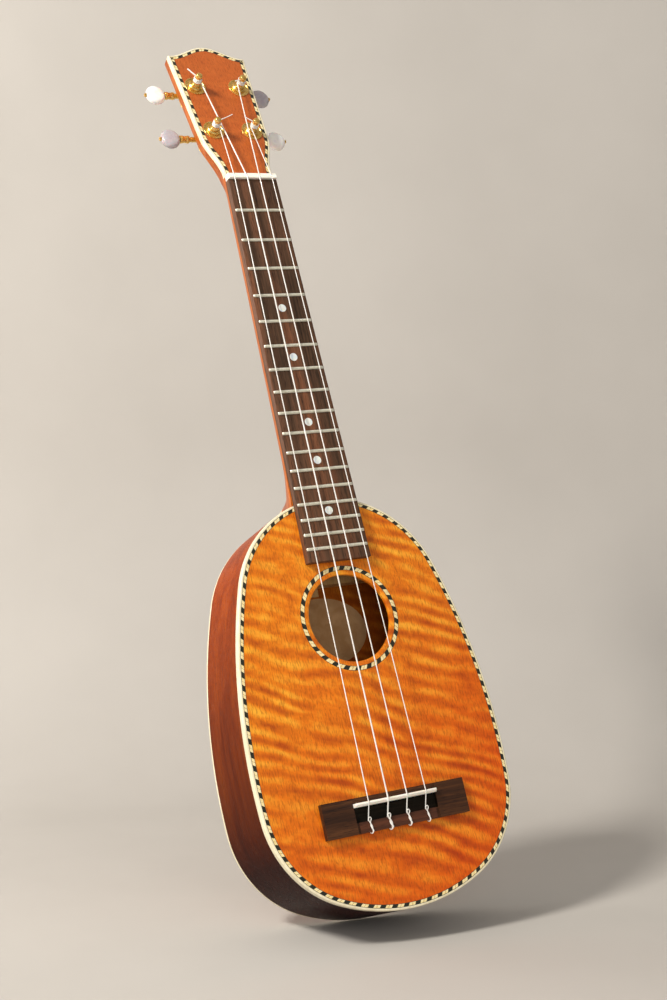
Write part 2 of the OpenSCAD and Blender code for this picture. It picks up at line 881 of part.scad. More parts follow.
module post(i) {
    top = head_t + post_h;
    waist_top = head_t + 8.3;
    profile = [
        [0, -worm_depth - wheel_t / 2],
        [stub_r - touch, -worm_depth - wheel_t / 2],
        [stub_r - touch, -worm_depth + wheel_t / 2],
        [post_r, -worm_depth + wheel_t / 2],
        [post_r, head_t + flange_top + 0.4],
        [post_waist_r + 0.5, head_t + flange_top + 0.9],
        [post_waist_r, head_t + flange_top + 1.6],
        [post_waist_r, waist_top],
        [post_cap_r, waist_top + 0.4],
        [post_cap_r, top - 0.9],
        [post_cap_r - 0.7, top],
        [0, top]
    ];
    color("#e0ae4a") at_tuner(i) difference() {
        rotate_extrude() polygon(profile);
        translate([0, 0, -worm_depth - wheel_t / 2 - 1]) cylinder(h = 5, r = wheel_screw_r + touch);
        translate([0, 0, head_t + tail_w(i)]) rotate([0, 90, tail_angles[i]])
            cylinder(h = 10, r = string_hole_r, center = true);
    }
}

module wheel(i) {
    step = 360 / wheel_teeth;
    tooth = [[wheel_root_r, -8.2], [wheel_tip_r, -2.9], [wheel_tip_r, 2.9], [wheel_root_r, 8.2]];
    color("#c9a24e") at_tuner(i) translate([0, 0, -worm_depth - wheel_t / 2]) difference() {
        linear_extrude(wheel_t) polygon([
            for (n = [0:wheel_teeth - 1])
                for (corner = tooth)
                    let (a = 90 + step * (n + 0.5) + corner[1])
                    corner[0] * [cos(a), sin(a)]
        ]);
        translate([0, 0, -1]) cylinder(h = wheel_t + 2, r = stub_r);
    }
}

module wheel_screw(i) {
    color("#e0ae4a") at_tuner(i) translate([0, 0, -worm_depth - wheel_t / 2]) difference() {
        union() {
            cylinder(h = wheel_screw_length, r = wheel_screw_r);
            translate([0, 0, -1]) cylinder(h = 1, r1 = 1.8, r2 = 2.4);
        }
        translate([-3, -0.25, -1.4]) cube([6, 0.5, 0.9]);
    }
}

module winding(i) {
    color("#efe9e0") at_tuner(i) translate([0, 0, head_t]) {
        for (turn = [0:winding_turns[i] - 1]) {
            translate([0, 0, turn_w(i, turn)]) rotate_extrude()
                translate([post_waist_r + string_r[i] + touch, 0]) circle(r = string_r[i]);
        }
        translate([0, 0, tail_w(i)]) rotate([0, 90, tail_angles[i]])
            translate([0, 0, -1]) cylinder(h = tail_lengths[i] + 1, r = string_r[i]);
    }
}

// Screw thread cut as one turning profile; its crest faces the wheel at mid length
module worm_thread() {
    points = 16;
    start = -90 - 360 * worm_length / 2 / thread_pitch;
    profile = [
        for (n = [0:points - 1])
            let (
                a = 360 * n / points,
                off = min(a, 360 - a) / 360,
                r = off < 0.11 ? worm_tip_r
                    : off > 0.24 ? worm_root_r
                    : worm_tip_r - (worm_tip_r - worm_root_r) * (off - 0.11) / 0.13
            )
            r * [cos(start + a), sin(start + a)]
    ];
    linear_extrude(worm_length, twist = -360 * worm_length / thread_pitch, slices = 42, segments = points)
        polygon(profile);
}

module worm_shaft(i) {
    inner_end = -worm_length / 2 - lug_gap - lug_t - 0.4;
    outer_lug = worm_length / 2 + lug_gap + lug_t + 0.15;
    button_in = button_x - abs(tuner_x[i]) - button_radii.x;
    profile = [
        [0, inner_end],
        [shaft_r, inner_end],
        [shaft_r, outer_lug],
        [1.7, outer_lug],
        [1.7, button_in - 6.6],
        [2.35, button_in - 5.8],
        [2.35, button_in - 3.4],
        [1.9, button_in - 2.8],
        [2.45, button_in - 2],
        [2.45, button_in],
        [pin_r, button_in],
        [pin_r, button_in + 9],
        [0, button_in + 9]
    ];
    color("#d9a441") union() {
        at_worm(i) translate([0, 0, -worm_length / 2]) worm_thread();
        at_knob(i) rotate_extrude() polygon(profile);
    }
}

module button(i) {
    centre = button_x - abs(tuner_x[i]);
    color(i % 2 == 0 ? "#cfcac6" : "#ece7df") at_knob(i) difference() {
        hull() {
            for (layer = button_layers) {
                translate([0, 0, centre]) button_layer(layer[0], layer[1]);
            }
        }
        translate([0, 0, centre - 10]) cylinder(h = 20, r = pin_r + touch);
    }
}

// One oval layer of a button, centred on the shaft axis and smaller than the rim by the inset
module button_layer(half_t, inset) {
    rotate([0, -90, 0]) translate([0, 0, -half_t]) linear_extrude(2 * half_t)
        polygon(ellipse([0, 0], [button_radii.x - inset, button_radii.y - inset], 32));
}

// Plain pin with a chamfered end, seated in the button and standing out of it
module button_screw(i) {
    outer = button_x - abs(tuner_x[i]) + button_radii.x;
    straight = pin_seat + pin_proud - pin_chamfer;
    color("#d9a441") at_knob(i) translate([0, 0, outer - pin_seat]) {
        cylinder(h = straight, r = pin_r);
        translate([0, 0, straight]) cylinder(h = pin_chamfer, r1 = pin_r, r2 = pin_r - pin_chamfer);
    }
}

soundboard();
back();
bent_side(0);  // side_left
bent_side(1);  // side_right
neck_block();
tail_block();
linings();
soundboard_braces();
bridge_plate();
back_braces();
back_strip();
top_binding();
back_binding();
top_purfling();
rosette();
label();
bridge();
saddle();
neck();
heel_cap();
fretboard();
frets();
position_dots();
nut();
headplate();
head_binding();
head_purfling();
strings();
tuner_plates();
tuner_bushings();
tuner_washers();
plate_screws();
post(0);  // post_lower_left
post(1);  // post_upper_left
post(2);  // post_upper_right
post(3);  // post_lower_right
wheel(0);  // wheel_lower_left
wheel(1);  // wheel_upper_left
wheel(2);  // wheel_upper_right
wheel(3);  // wheel_lower_right
wheel_screw(0);  // wheel_screw_lower_left
wheel_screw(1);  // wheel_screw_upper_left
wheel_screw(2);  // wheel_screw_upper_right
wheel_screw(3);  // wheel_screw_lower_right
winding(0);  // winding_lower_left
winding(1);  // winding_upper_left
winding(2);  // winding_upper_right
winding(3);  // winding_lower_right
worm_shaft(0);  // worm_shaft_lower_left
worm_shaft(1);  // worm_shaft_upper_left
worm_shaft(2);  // worm_shaft_upper_right
worm_shaft(3);  // worm_shaft_lower_right
button(0);  // button_lower_left
button(1);  // button_upper_left
button(2);  // button_upper_right
button(3);  // button_lower_right
button_screw(0);  // button_screw_lower_left
button_screw(1);  // button_screw_upper_left
button_screw(2);  // button_screw_upper_right
button_screw(3);  // button_screw_lower_right
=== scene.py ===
import json
import math
import random

import bmesh
import bpy
import numpy as np
from mathutils import Matrix, Vector


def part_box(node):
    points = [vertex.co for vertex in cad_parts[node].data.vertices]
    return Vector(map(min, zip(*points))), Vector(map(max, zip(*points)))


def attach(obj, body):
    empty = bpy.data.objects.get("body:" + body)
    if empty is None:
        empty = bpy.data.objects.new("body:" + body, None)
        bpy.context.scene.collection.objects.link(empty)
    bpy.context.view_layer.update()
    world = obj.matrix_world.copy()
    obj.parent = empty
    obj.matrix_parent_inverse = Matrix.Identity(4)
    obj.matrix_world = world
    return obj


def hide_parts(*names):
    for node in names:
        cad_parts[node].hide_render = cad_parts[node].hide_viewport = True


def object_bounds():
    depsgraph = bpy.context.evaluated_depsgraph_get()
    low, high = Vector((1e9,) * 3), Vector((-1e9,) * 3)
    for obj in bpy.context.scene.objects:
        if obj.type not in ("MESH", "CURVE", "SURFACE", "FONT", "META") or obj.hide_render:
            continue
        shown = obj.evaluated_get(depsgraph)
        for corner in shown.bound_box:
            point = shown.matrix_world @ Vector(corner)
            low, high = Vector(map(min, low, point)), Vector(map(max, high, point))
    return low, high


# Looks for a pineapple-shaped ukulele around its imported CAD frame.
# Shapes are worked out in millimetres in the row frame and turned into metres when a piece is made.

MM = 0.001
RNG = random.Random(11)
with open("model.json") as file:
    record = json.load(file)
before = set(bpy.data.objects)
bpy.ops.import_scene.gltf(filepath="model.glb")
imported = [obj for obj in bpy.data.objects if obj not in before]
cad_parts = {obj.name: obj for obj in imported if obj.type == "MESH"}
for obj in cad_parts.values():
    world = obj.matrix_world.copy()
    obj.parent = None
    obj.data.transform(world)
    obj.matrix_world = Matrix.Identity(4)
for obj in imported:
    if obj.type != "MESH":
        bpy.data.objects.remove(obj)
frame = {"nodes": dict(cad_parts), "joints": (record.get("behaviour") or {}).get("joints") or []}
cad_low, cad_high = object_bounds()
JOINTS = {joint["name"]: joint for joint in frame["joints"]}


def box_mm(node):
    low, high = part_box(node)
    return low / MM, high / MM


# ---- Measurements read from the frame ----

EDGE_LOW, EDGE_HIGH = box_mm("top_binding")
FACE_Y = EDGE_LOW.y
BODY_TOP_Z = EDGE_HIGH.z
BACK_LOW, BACK_HIGH = box_mm("back_binding")
BACK_SLOPE = (BACK_HIGH.y - 0.0) / -BACK_LOW.z        # how far the back moves out for each mm down
ROSETTE_LOW, ROSETTE_HIGH = box_mm("rosette")
HOLE_Z = (ROSETTE_LOW.z + ROSETTE_HIGH.z) / 2
ROSETTE_R = (ROSETTE_HIGH.x - ROSETTE_LOW.x) / 2
NUT_LOW, NUT_HIGH = box_mm("nut")
BOARD_LOW, BOARD_HIGH = box_mm("fretboard")
BRIDGE_LOW, BRIDGE_HIGH = box_mm("bridge")
SADDLE_LOW, SADDLE_HIGH = box_mm("saddle")
CAP_LOW, CAP_HIGH = box_mm("heel_cap")
HEAD_Y = box_mm("headplate")[0].y
HEAD_Z = NUT_HIGH.z
HEAD_TILT = math.asin(JOINTS["post_turn_lower_left"]["axis"][2])
HEAD_HALF_TOP = box_mm("head_binding")[1].x

# ---- Shape values ----

SIDE_RADIUS, SHOULDER_RADIUS, CORNER_RADIUS, TAIL_RADIUS = 344.5, 66.0, 61.0, 103.2
TOP_T, BACK_T, SIDE_T = 2.1, 2.1, 1.9
BINDING_W, TOP_BINDING_H, BACK_BINDING_H, HEAD_BINDING_H = 1.3, 4.0, 2.4, 3.4
ROPE_W, ROPE_DEPTH, ROSETTE_W, HOLE_R = 2.1, 1.15, 2.7, 25.7
ROPE_PITCH, ROPE_SLANT, ROPE_LINE_W = 7.45, 0.6, 0.24
CURL_PITCH = 8.6
PROUD = 0.03                                          # inlays stand this far out of the wood
SCALE_LENGTH, FRET_COUNT, DOT_FRETS, DOT_R = 381.0, 17, (5, 7, 10, 12, 15), 2.5
BOARD_HALF_NUT = 16.4
HEEL_ROOT_Z = 138.0
HEEL_DEPTH, HEEL_HALF_W, HEEL_REACH = (9, 19, 32, 44.5), (19, 17.2, 14.5, 12.5), (50, 34, 27.5, 24.5)
NECK_D_HEEL, NECK_D_NUT = 15.0, 12.5
HEAD_T, HEADPLATE_T, HEAD_HALF_NUT, HEAD_HALF_FLARE = 10.0, 2.0, 16.2, 23.3
FLARE_START_U, FLARE_END_U, CORNER_U, CREST_RISE = 3.0, 33.0, 100.3, 8.8
STRING_R = (0.31, 0.43, 0.36, 0.28)
NUT_SPACING, SADDLE_SPACING, STRING_NUT_H, STRING_POST_W = 8.43, 12.19, 5.95, 4.3
TIE_W, TIE_H, TIE_HOLE_H, RECESS_H, LEDGE_H, WING_H = 6.0, 3.2, 2.0, 1.2, 3.2, 3.6
TIE_Z = BRIDGE_LOW.z + TIE_W
POST_R, POST_WAIST_R, POST_CAP_R, POST_H = 2.94, 1.9, 2.25, 10.6
BUSHING_R, WASHER_R, WASHER_T, FLANGE_R, FLANGE_TOP = 4.0, 7.0, 0.6, 4.5, 1.9
PLATE_T, SHAFT_R, LUG_T, LUG_HALF_W, THREAD_PITCH, THREAD_ROOT_R, THREAD_TIP_R = 1.0, 1.1, 1.2, 1.9, 1.6, 1.25, 2.15
BUTTON_RADIUS, BUTTON_T = 6.3, 5.6
BUTTON_ACROSS = 7.0
PLATE_SCREW_U = (-6.4, 10.2)
TAIL_ANGLES, TAIL_LENGTHS, WINDING_TURNS = (26, 129, 200, 145), (13, 9, 6, 8), (5, 3, 4, 5)

# Where the camera stands: angles in degrees, distances in mm
CAMERA_TURN, CAMERA_RISE, CAMERA_ROLL = 28.197, 14.3, -13.064
CAMERA_DISTANCE, CAMERA_LENS = 905.3, 55.42
CAMERA_AIM = (6.85, FACE_Y, BODY_TOP_Z - 1.95)


# ---- Outlines and placing ----

def smooth_step(t):
    t = min(max(t, 0.0), 1.0)
    return t * t * (3 - 2 * t)


def mix(a, b, t):
    return a + (b - a) * t


class Edge:
    """A flat outline that can be walked by distance and moved inwards. Its inside is on the right of its direction."""

    def __init__(self, points, closed):
        self.points = np.array(points, float)
        if closed:
            self.points = np.vstack([self.points, self.points[:1]])
        steps = np.diff(self.points, axis=0)
        lengths = np.linalg.norm(steps, axis=1)
        run = steps / lengths[:, None]
        before = np.vstack([run[-1:] if closed else run[:1], run])
        after = np.vstack([run, run[:1] if closed else run[-1:]])
        n0 = np.column_stack([before[:, 1], -before[:, 0]])
        n1 = np.column_stack([after[:, 1], -after[:, 0]])
        self.inward = (n0 + n1) / (1 + (n0 * n1).sum(1))[:, None]
        self.distance = np.concatenate([[0], np.cumsum(lengths)])
        self.length = float(self.distance[-1])
        self.closed = closed

    def at(self, s, inset=0.0):
        s = s % self.length if self.closed else min(max(s, 0.0), self.length)
        moved = [np.interp(s, self.distance, self.points[:, k] + inset * self.inward[:, k]) for k in (0, 1)]
        return moved

    def loop(self, inset=0.0):
        """Every point of the outline, moved inwards."""
        moved = self.points + inset * self.inward
        return [tuple(p) for p in (moved[:-1] if self.closed else moved)]


def body_edge():
    """Body outline, clockwise from the top centre as seen from the front."""
    half_width, tail = EDGE_HIGH.x, -EDGE_LOW.z
    side = (half_width - SIDE_RADIUS, 0.0)
    shoulder = (0.0, math.sqrt((SIDE_RADIUS - SHOULDER_RADIUS) ** 2 - side[0] ** 2))
    tail_centre = (0.0, TAIL_RADIUS - tail)
    r0, r1 = SIDE_RADIUS - CORNER_RADIUS, TAIL_RADIUS - CORNER_RADIUS
    gap = math.dist(side, tail_centre)
    along = (r0 * r0 - r1 * r1 + gap * gap) / (2 * gap)
    aside = math.sqrt(r0 * r0 - along * along)
    dx, dz = (tail_centre[0] - side[0]) / gap, (tail_centre[1] - side[1]) / gap
    corner = (side[0] + along * dx + aside * dz, side[1] + along * dz - aside * dx)
    a_side = math.atan2(shoulder[1] - side[1], shoulder[0] - side[0])
    a_corner = math.atan2(corner[1] - side[1], corner[0] - side[0])
    a_tail = math.atan2(corner[1] - tail_centre[1], corner[0] - tail_centre[0])
    arcs = [
        (shoulder, SHOULDER_RADIUS, math.pi / 2, a_side, 50),
        (side, SIDE_RADIUS, a_side, a_corner, 60),
        (corner, CORNER_RADIUS, a_corner, a_tail, 44),
        (tail_centre, TAIL_RADIUS, a_tail, -math.pi / 2, 26),
    ]
    right = [(0.0, shoulder[1] + SHOULDER_RADIUS)]
    for centre, radius, start, end, steps in arcs:
        for i in range(1, steps + 1):
            a = mix(start, end, i / steps)
            right.append((centre[0] + radius * math.cos(a), centre[1] + radius * math.sin(a)))
    return Edge(right + [(-x, z) for x, z in right[-2:0:-1]], True)


def head_half_width(u):
    if u < FLARE_END_U:
        return mix(HEAD_HALF_NUT, HEAD_HALF_FLARE, smooth_step((u - FLARE_START_U) / (FLARE_END_U - FLARE_START_U)))
    return mix(HEAD_HALF_FLARE, HEAD_HALF_TOP, min(1.0, (u - FLARE_END_U) / (CORNER_U - FLARE_END_U)))


def crest_u(x):
    return CORNER_U + CREST_RISE / 2 * (1 + math.cos(math.pi * x / HEAD_HALF_TOP))


def head_edge():
    """Headstock outline from the nut up its left side, over the crest and down the right side."""
    side = [(-head_half_width(u), u) for u in np.linspace(0, CORNER_U, 90)]
    crest = [(x, crest_u(x)) for x in np.linspace(-HEAD_HALF_TOP, HEAD_HALF_TOP, 61)[1:-1]]
    return Edge(side + crest + [(-x, u) for x, u in reversed(side)], False)


def circle_edge(radius, z, steps=180):
    turns = [-2 * math.pi * i / steps for i in range(steps)]
    return Edge([(radius * math.cos(a), z + radius * math.sin(a)) for a in turns], True)


def on_face(x, z, h):
    """Point h in front of the soundboard."""
    return (x, FACE_Y - h, z)


def on_back(x, z, h):
    """Point h behind the flat back, which leans forward as it goes up."""
    return (x, -BACK_SLOPE * z + h, z)


def on_head(x, u, w):
    """Point w in front of the headplate."""
    return (
        x,
        HEAD_Y + u * math.sin(HEAD_TILT) - w * math.cos(HEAD_TILT),
        HEAD_Z + u * math.cos(HEAD_TILT) + w * math.sin(HEAD_TILT),
    )


def head_local(point):
    y, z = point[1] - HEAD_Y, point[2] - HEAD_Z
    s, c = math.sin(HEAD_TILT), math.cos(HEAD_TILT)
    return (point[0], y * s + z * c, z * s - y * c)


# ---- Building meshes ----

class Shape:
    """Points and faces in mm, with a material number for each face."""

    def __init__(self):
        self.points, self.faces, self.slots = [], [], []

    def face(self, corners, slot):
        self.faces.append(tuple(corners))
        self.slots.append(slot)

    def loft(self, loops, slot=0, closed=False, capped=True):
        """Skin over loops of equal length; closed joins the last loop to the first."""
        base, n = len(self.points), len(loops[0])
        for loop in loops:
            self.points.extend(tuple(p) for p in loop)
        for i in range(len(loops) if closed else len(loops) - 1):
            a, b = base + i * n, base + (i + 1) % len(loops) * n
            for k in range(n):
                m = (k + 1) % n
                self.face((a + k, a + m, b + m, b + k), slot)
        if capped and not closed:
            self.face(range(base, base + n), slot)
            self.face(reversed(range(len(self.points) - n, len(self.points))), slot)
        return self

    def lathe(self, place, profile, slot=0, sides=40, closed=False):
        """Turned shape from (radius, height) points."""
        turns = [2 * math.pi * k / sides for k in range(sides)]
        loops = [[place(r * math.cos(a), r * math.sin(a), h) for a in turns] for r, h in profile]
        return self.loft(loops, slot, closed)

    def tube(self, path, radius, slot=0, sides=12):
        """Round wire along a path, with its rings square to the path."""
        path = [Vector(p) for p in path]
        runs = [(b - a).normalized() for a, b in zip(path, path[1:])]
        aside = runs[0].orthogonal().normalized()
        loops = []
        for i, p in enumerate(path):
            before, after = runs[max(i - 1, 0)], runs[min(i, len(runs) - 1)]
            along = (before + after).normalized()
            aside = (aside - along * aside.dot(along)).normalized()
            across = along.cross(aside)
            loops.append([
                p + radius * (math.cos(a) * aside + math.sin(a) * across)
                for a in (2 * math.pi * k / sides for k in range(sides))
            ])
        return self.loft(loops, slot)


def rounded(corners, steps=3):
    """Profile from (x, y, radius) corners, each turned into a short curve."""
    out = []
    for i, (x, y, r) in enumerate(corners):
        if r == 0:
            out.append((x, y))
            continue
        p = Vector((x, y))
        a = (Vector(corners[i - 1][:2]) - p).normalized()
        b = (Vector(corners[(i + 1) % len(corners)][:2]) - p).normalized()
        cut = r / math.tan(a.angle(b) / 2)
        start, end = p + a * cut, p + b * cut
        for k in range(steps + 1):
            t = k / steps
            out.append(tuple((1 - t) ** 2 * start + 2 * t * (1 - t) * p + t * t * end))
    return out


def spline(points, steps=6):
    """Smooth path through the points."""
    pts = [Vector(p) for p in points]
    pts = [2 * pts[0] - pts[1]] + pts + [2 * pts[-1] - pts[-2]]
    out = [pts[1]]
    for a, b, c, d in zip(pts, pts[1:], pts[2:], pts[3:]):
        for k in range(1, steps + 1):
            t = k / steps
            out.append(0.5 * (2 * b + (c - a) * t + (2 * a - 5 * b + 4 * c - d) * t * t
                              + (3 * b - a - 3 * c + d) * t ** 3))
    return out


def piece(name, shape, materials, body="root", stands_for=(), sharp=35, bevel=0.0, weld=False):
    """Makes one mesh piece that rides on a body and stands for CAD nodes; weld joins points that coincide."""
    mesh = bpy.data.meshes.new(name)
    mesh.from_pydata([[c * MM for c in p] for p in shape.points], [], shape.faces)
    for material in materials:
        mesh.materials.append(material)
    mesh.polygons.foreach_set("material_index", shape.slots)
    tidy = bmesh.new()
    tidy.from_mesh(mesh)
    if weld:
        bmesh.ops.remove_doubles(tidy, verts=tidy.verts, dist=0.001 * MM)
    bmesh.ops.recalc_face_normals(tidy, faces=tidy.faces)
    tidy.to_mesh(mesh)
    tidy.free()
    mesh.shade_smooth()
    mesh.set_sharp_from_angle(angle=math.radians(sharp))
    made = bpy.data.objects.new(name, mesh)
    bpy.context.scene.collection.objects.link(made)
    if bevel:
        trim = made.modifiers.new("bevel", "BEVEL")
        trim.width, trim.segments, trim.limit_method = bevel * MM, 2, "ANGLE"
        trim.angle_limit = math.radians(sharp)
        trim.harden_normals = True
    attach(made, body)
    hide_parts(*stands_for)
    return made


def carve(made, cutter_shape, tangled=False):
    """Cuts the cutter's volume out of a piece for good; tangled is for pieces whose skin crosses itself."""
    mesh = bpy.data.meshes.new("cutter")
    mesh.from_pydata([[c * MM for c in p] for p in cutter_shape.points], [], cutter_shape.faces)
    tidy = bmesh.new()
    tidy.from_mesh(mesh)
    bmesh.ops.recalc_face_normals(tidy, faces=tidy.faces)
    tidy.to_mesh(mesh)
    tidy.free()
    cutter = bpy.data.objects.new("cutter", mesh)
    bpy.context.scene.collection.objects.link(cutter)
    cut = made.modifiers.new("cut", "BOOLEAN")
    cut.operation, cut.solver, cut.object = "DIFFERENCE", "EXACT", cutter
    cut.use_self = tangled
    bpy.context.view_layer.update()
    result = bpy.data.meshes.new_from_object(made.evaluated_get(bpy.context.evaluated_depsgraph_get()))
    made.modifiers.remove(cut)
    made.data = result
    bpy.data.objects.remove(cutter)
    result.shade_smooth()
    result.set_sharp_from_angle(angle=math.radians(35))


# ---- Materials ----

def srgb(code):
    """Linear colour from a #rrggbb code."""
    parts = [int(code[k:k + 2], 16) / 255 for k in (1, 3, 5)]
    return tuple(p / 12.92 if p <= 0.04045 else ((p + 0.055) / 1.055) ** 2.4 for p in parts) + (1.0,)


class Nodes:
    """Builds one material's node tree; sizes of patterns are in mm along x, y and z."""

    def __init__(self, name, turn=0.0):
        self.material = bpy.data.materials.new(name)
        self.material.use_nodes = True
        self.tree = self.material.node_tree
        self.tree.nodes.clear()
        self.upright = self.add("TexCoord").outputs["Object"]
        turned = self.add("Mapping", {"Vector": self.upright, "Rotation": (0, math.radians(turn), 0)})
        self.place = turned.outputs[0]

    def add(self, kind, inputs=None, **settings):
        node = self.tree.nodes.new("ShaderNode" + kind)
        for key, value in settings.items():
            setattr(node, key, value)
        for key, value in (inputs or {}).items():
            if isinstance(value, bpy.types.NodeSocket):
                self.tree.links.new(value, node.inputs[key])
            else:
                node.inputs[key].default_value = value
        return node

    def noise(self, size, detail=2.0, roughness=0.5, distortion=0.0, shift=0.0, place=None):
        spread = self.add("Mapping", {
            "Vector": place or self.place,
            "Scale": [1 / (s * MM) for s in size],
            "Location": (shift, shift, shift),
        })
        return self.add("TexNoise", {
            "Vector": spread.outputs[0], "Scale": 1.0, "Detail": detail,
            "Roughness": roughness, "Distortion": distortion,
        }).outputs[0]

    def ramp(self, value, stops, colours=True):
        node = self.add("ValToRGB", {0: value})
        points = node.color_ramp.elements
        while len(points) < len(stops):
            points.new(0.5)
        for point, (where, what) in zip(points, stops):
            point.position = where
            point.color = srgb(what) if colours else (what, what, what, 1.0)
        return node.outputs[0]

    def math(self, operation, a, b=0.0, clamp=False):
        return self.add("Math", {0: a, 1: b}, operation=operation, use_clamp=clamp).outputs[0]

    def blend(self, amount, a, b, how="MIX"):
        node = self.add("Mix", {0: amount, 6: a, 7: b}, data_type="RGBA", blend_type=how)
        return node.outputs[2]

    def slope(self, direction, start, end):
        """0 at distance start and 1 at distance end along a direction, in mm."""
        along = self.add("VectorMath", {0: self.place, 1: direction}, operation="DOT_PRODUCT").outputs["Value"]
        return self.add("MapRange", {0: along, 1: start * MM, 2: end * MM}).outputs[0]

    def bump(self, height, strength, distance=0.2):
        return self.add("Bump", {
            "Height": height, "Strength": strength, "Distance": distance * MM}).outputs[0]

    def surface(self, **inputs):
        names = {"ior": "IOR", "specular": "Specular IOR Level"}
        values = {names.get(k, k.replace("_", " ").title()): v for k, v in inputs.items()}
        shader = self.add("BsdfPrincipled", values)
        self.add("OutputMaterial", {"Surface": shader.outputs[0]})
        return self.material


def grain(axis, fine, long):
    """Pattern size that is long along the grain and fine across it."""
    return [long if k == axis else fine for k in range(3)]


def curly_wood(name, dark, middle, light, shade_and_tone_red, curl=1.0, turn=-20.0, gloss=0.22, shade_and_tone_amount=1.0):
    """Soundboard wood: soft curl bands that lean across a fine grain with short pores, and painted shade towards the
    lower right.
    """
    n = Nodes(name, turn)
    height = n.add("VectorMath", {0: n.place, 1: (0, 0, 1 / (CURL_PITCH * MM))}, operation="DOT_PRODUCT").outputs["Value"]
    sway = n.math("MULTIPLY", n.noise((70, 70, 45), 1.0, 0.5), 3.0)
    wave = n.math("SINE", n.math("MULTIPLY", n.math("ADD", height, sway), 2 * math.pi))
    strength = n.ramp(n.noise((34, 34, 22), 1.0, 0.5, 0.0, 4.1), [(0.34, 0.03), (0.66, 0.26)], False)
    loose = n.math("MULTIPLY", n.math("SUBTRACT", n.noise((16, 16, 7), 3.0, 0.6, 0.3, 7.3), 0.5), 1.0)
    bands = n.math("ADD", n.math("MULTIPLY", wave, strength), loose)
    bands = n.math("ADD", n.math("MULTIPLY", bands, curl), 0.5)
    colour = n.ramp(bands, [(0.12, dark), (0.5, middle), (0.88, light)])
    streaks = n.ramp(n.noise((1.1, 1.1, 26), 3.0, 0.6, place=n.upright), [(0.3, 0.84), (0.7, 1.08)], False)
    colour = n.blend(0.8, colour, streaks, "MULTIPLY")
    # Painted shade: the colour is multiplied towards the reddish colour further right and lower down, where the light
    # falls off; the noise adds random changes of tone.
    painted_shade_and_tone = n.math("ADD", n.slope((0.8, 0, -0.55), -75, 85), n.math("SUBTRACT", n.noise((60, 60, 60)), 0.5), True)
    colour = n.blend(n.math("MULTIPLY", painted_shade_and_tone, shade_and_tone_amount), colour, srgb(shade_and_tone_red), "MULTIPLY")
    pores = n.ramp(n.noise((0.6, 0.6, 3.2), 2.0, 0.5, place=n.upright), [(0.5, 0.0), (0.66, 1.0)], False)
    colour = n.blend(n.math("MULTIPLY", pores, 0.42), colour, srgb("#7a3208"))
    return n.surface(
        base_color=colour, roughness=n.ramp(bands, [(0.2, 0.46), (0.8, 0.36)], False), specular=0.3,
        coat_weight=gloss, coat_roughness=0.12, normal=n.bump(pores, 0.12, 0.05))


def straight_wood(name, dark, middle, light, axis=2, pores="#2a1008", rough=0.42, gloss=0.2, pore_amount=0.5,
                  shade=None, specular=0.3):
    """Plain wood with streaks and pores along one axis; shade is the colour of painted shade that it darkens to at the
    lower end.
    """
    n = Nodes(name)
    broad = n.noise(grain(axis, 9, 160), 3.0, 0.55, 0.6)
    fine = n.noise(grain(axis, 1.3, 70), 3.0, 0.6, 0.2, 3.1)
    value = n.math("ADD", n.math("MULTIPLY", broad, 0.6), n.math("MULTIPLY", fine, 0.4))
    colour = n.ramp(value, [(0.36, dark), (0.5, middle), (0.64, light)])
    if shade:
        # Painted shade and painted dark reflection: the colour darkens towards the lower end.
        colour = n.blend(n.slope((0, 0, -1), -120, 50), colour, srgb(shade), "MULTIPLY")
    dots = n.ramp(n.noise(grain(axis, 0.4, 5.5), 1.0, 0.4, 0.0, 5.0), [(0.58, 0.0), (0.7, 1.0)], False)
    colour = n.blend(n.math("MULTIPLY", dots, pore_amount), colour, srgb(pores))
    return n.surface(
        base_color=colour, roughness=n.ramp(fine, [(0.3, rough + 0.08), (0.7, rough - 0.06)], False), specular=specular,
        coat_weight=gloss, coat_roughness=0.12, normal=n.bump(dots, 0.25, 0.05))


def solid(name, dark, light, size=(3, 3, 3), rough=0.35, gloss=0.0, bump=0.05, **more):
    """Near-even material with a slight mottle."""
    n = Nodes(name)
    mottle = n.noise(size, 3.0, 0.55, 0.5)
    colour = n.ramp(mottle, [(0.35, dark), (0.65, light)])
    return n.surface(
        base_color=colour, roughness=n.ramp(mottle, [(0.3, rough + 0.05), (0.7, rough - 0.05)], False),
        coat_weight=gloss, normal=n.bump(mottle, bump, 0.05), **more)


def metal(name, dark, light, rough, metallic=1.0):
    n = Nodes(name)
    wear = n.noise((2.5, 2.5, 2.5), 4.0, 0.6)
    scratches = n.noise((0.3, 0.3, 3.0), 2.0, 0.5, 0.4)
    return n.surface(
        base_color=n.ramp(wear, [(0.3, dark), (0.7, light)]), metallic=metallic,
        roughness=n.ramp(wear, [(0.3, rough + 0.06), (0.7, rough - 0.04)], False),
        normal=n.bump(scratches, 0.06, 0.02))


def pearloid(name, dark, light, tint):
    """Milky button plastic with faint swirls."""
    n = Nodes(name)
    swirl = n.noise((7, 7, 7), 1.0, 0.4, 1.2)
    colour = n.ramp(swirl, [(0.3, dark), (0.5, light), (0.62, tint), (0.75, light)])
    return n.surface(
        base_color=colour, roughness=0.25, coat_weight=0.3, coat_roughness=0.08,
        subsurface_weight=0.2, subsurface_scale=0.003, normal=n.bump(swirl, 0.03, 0.1))


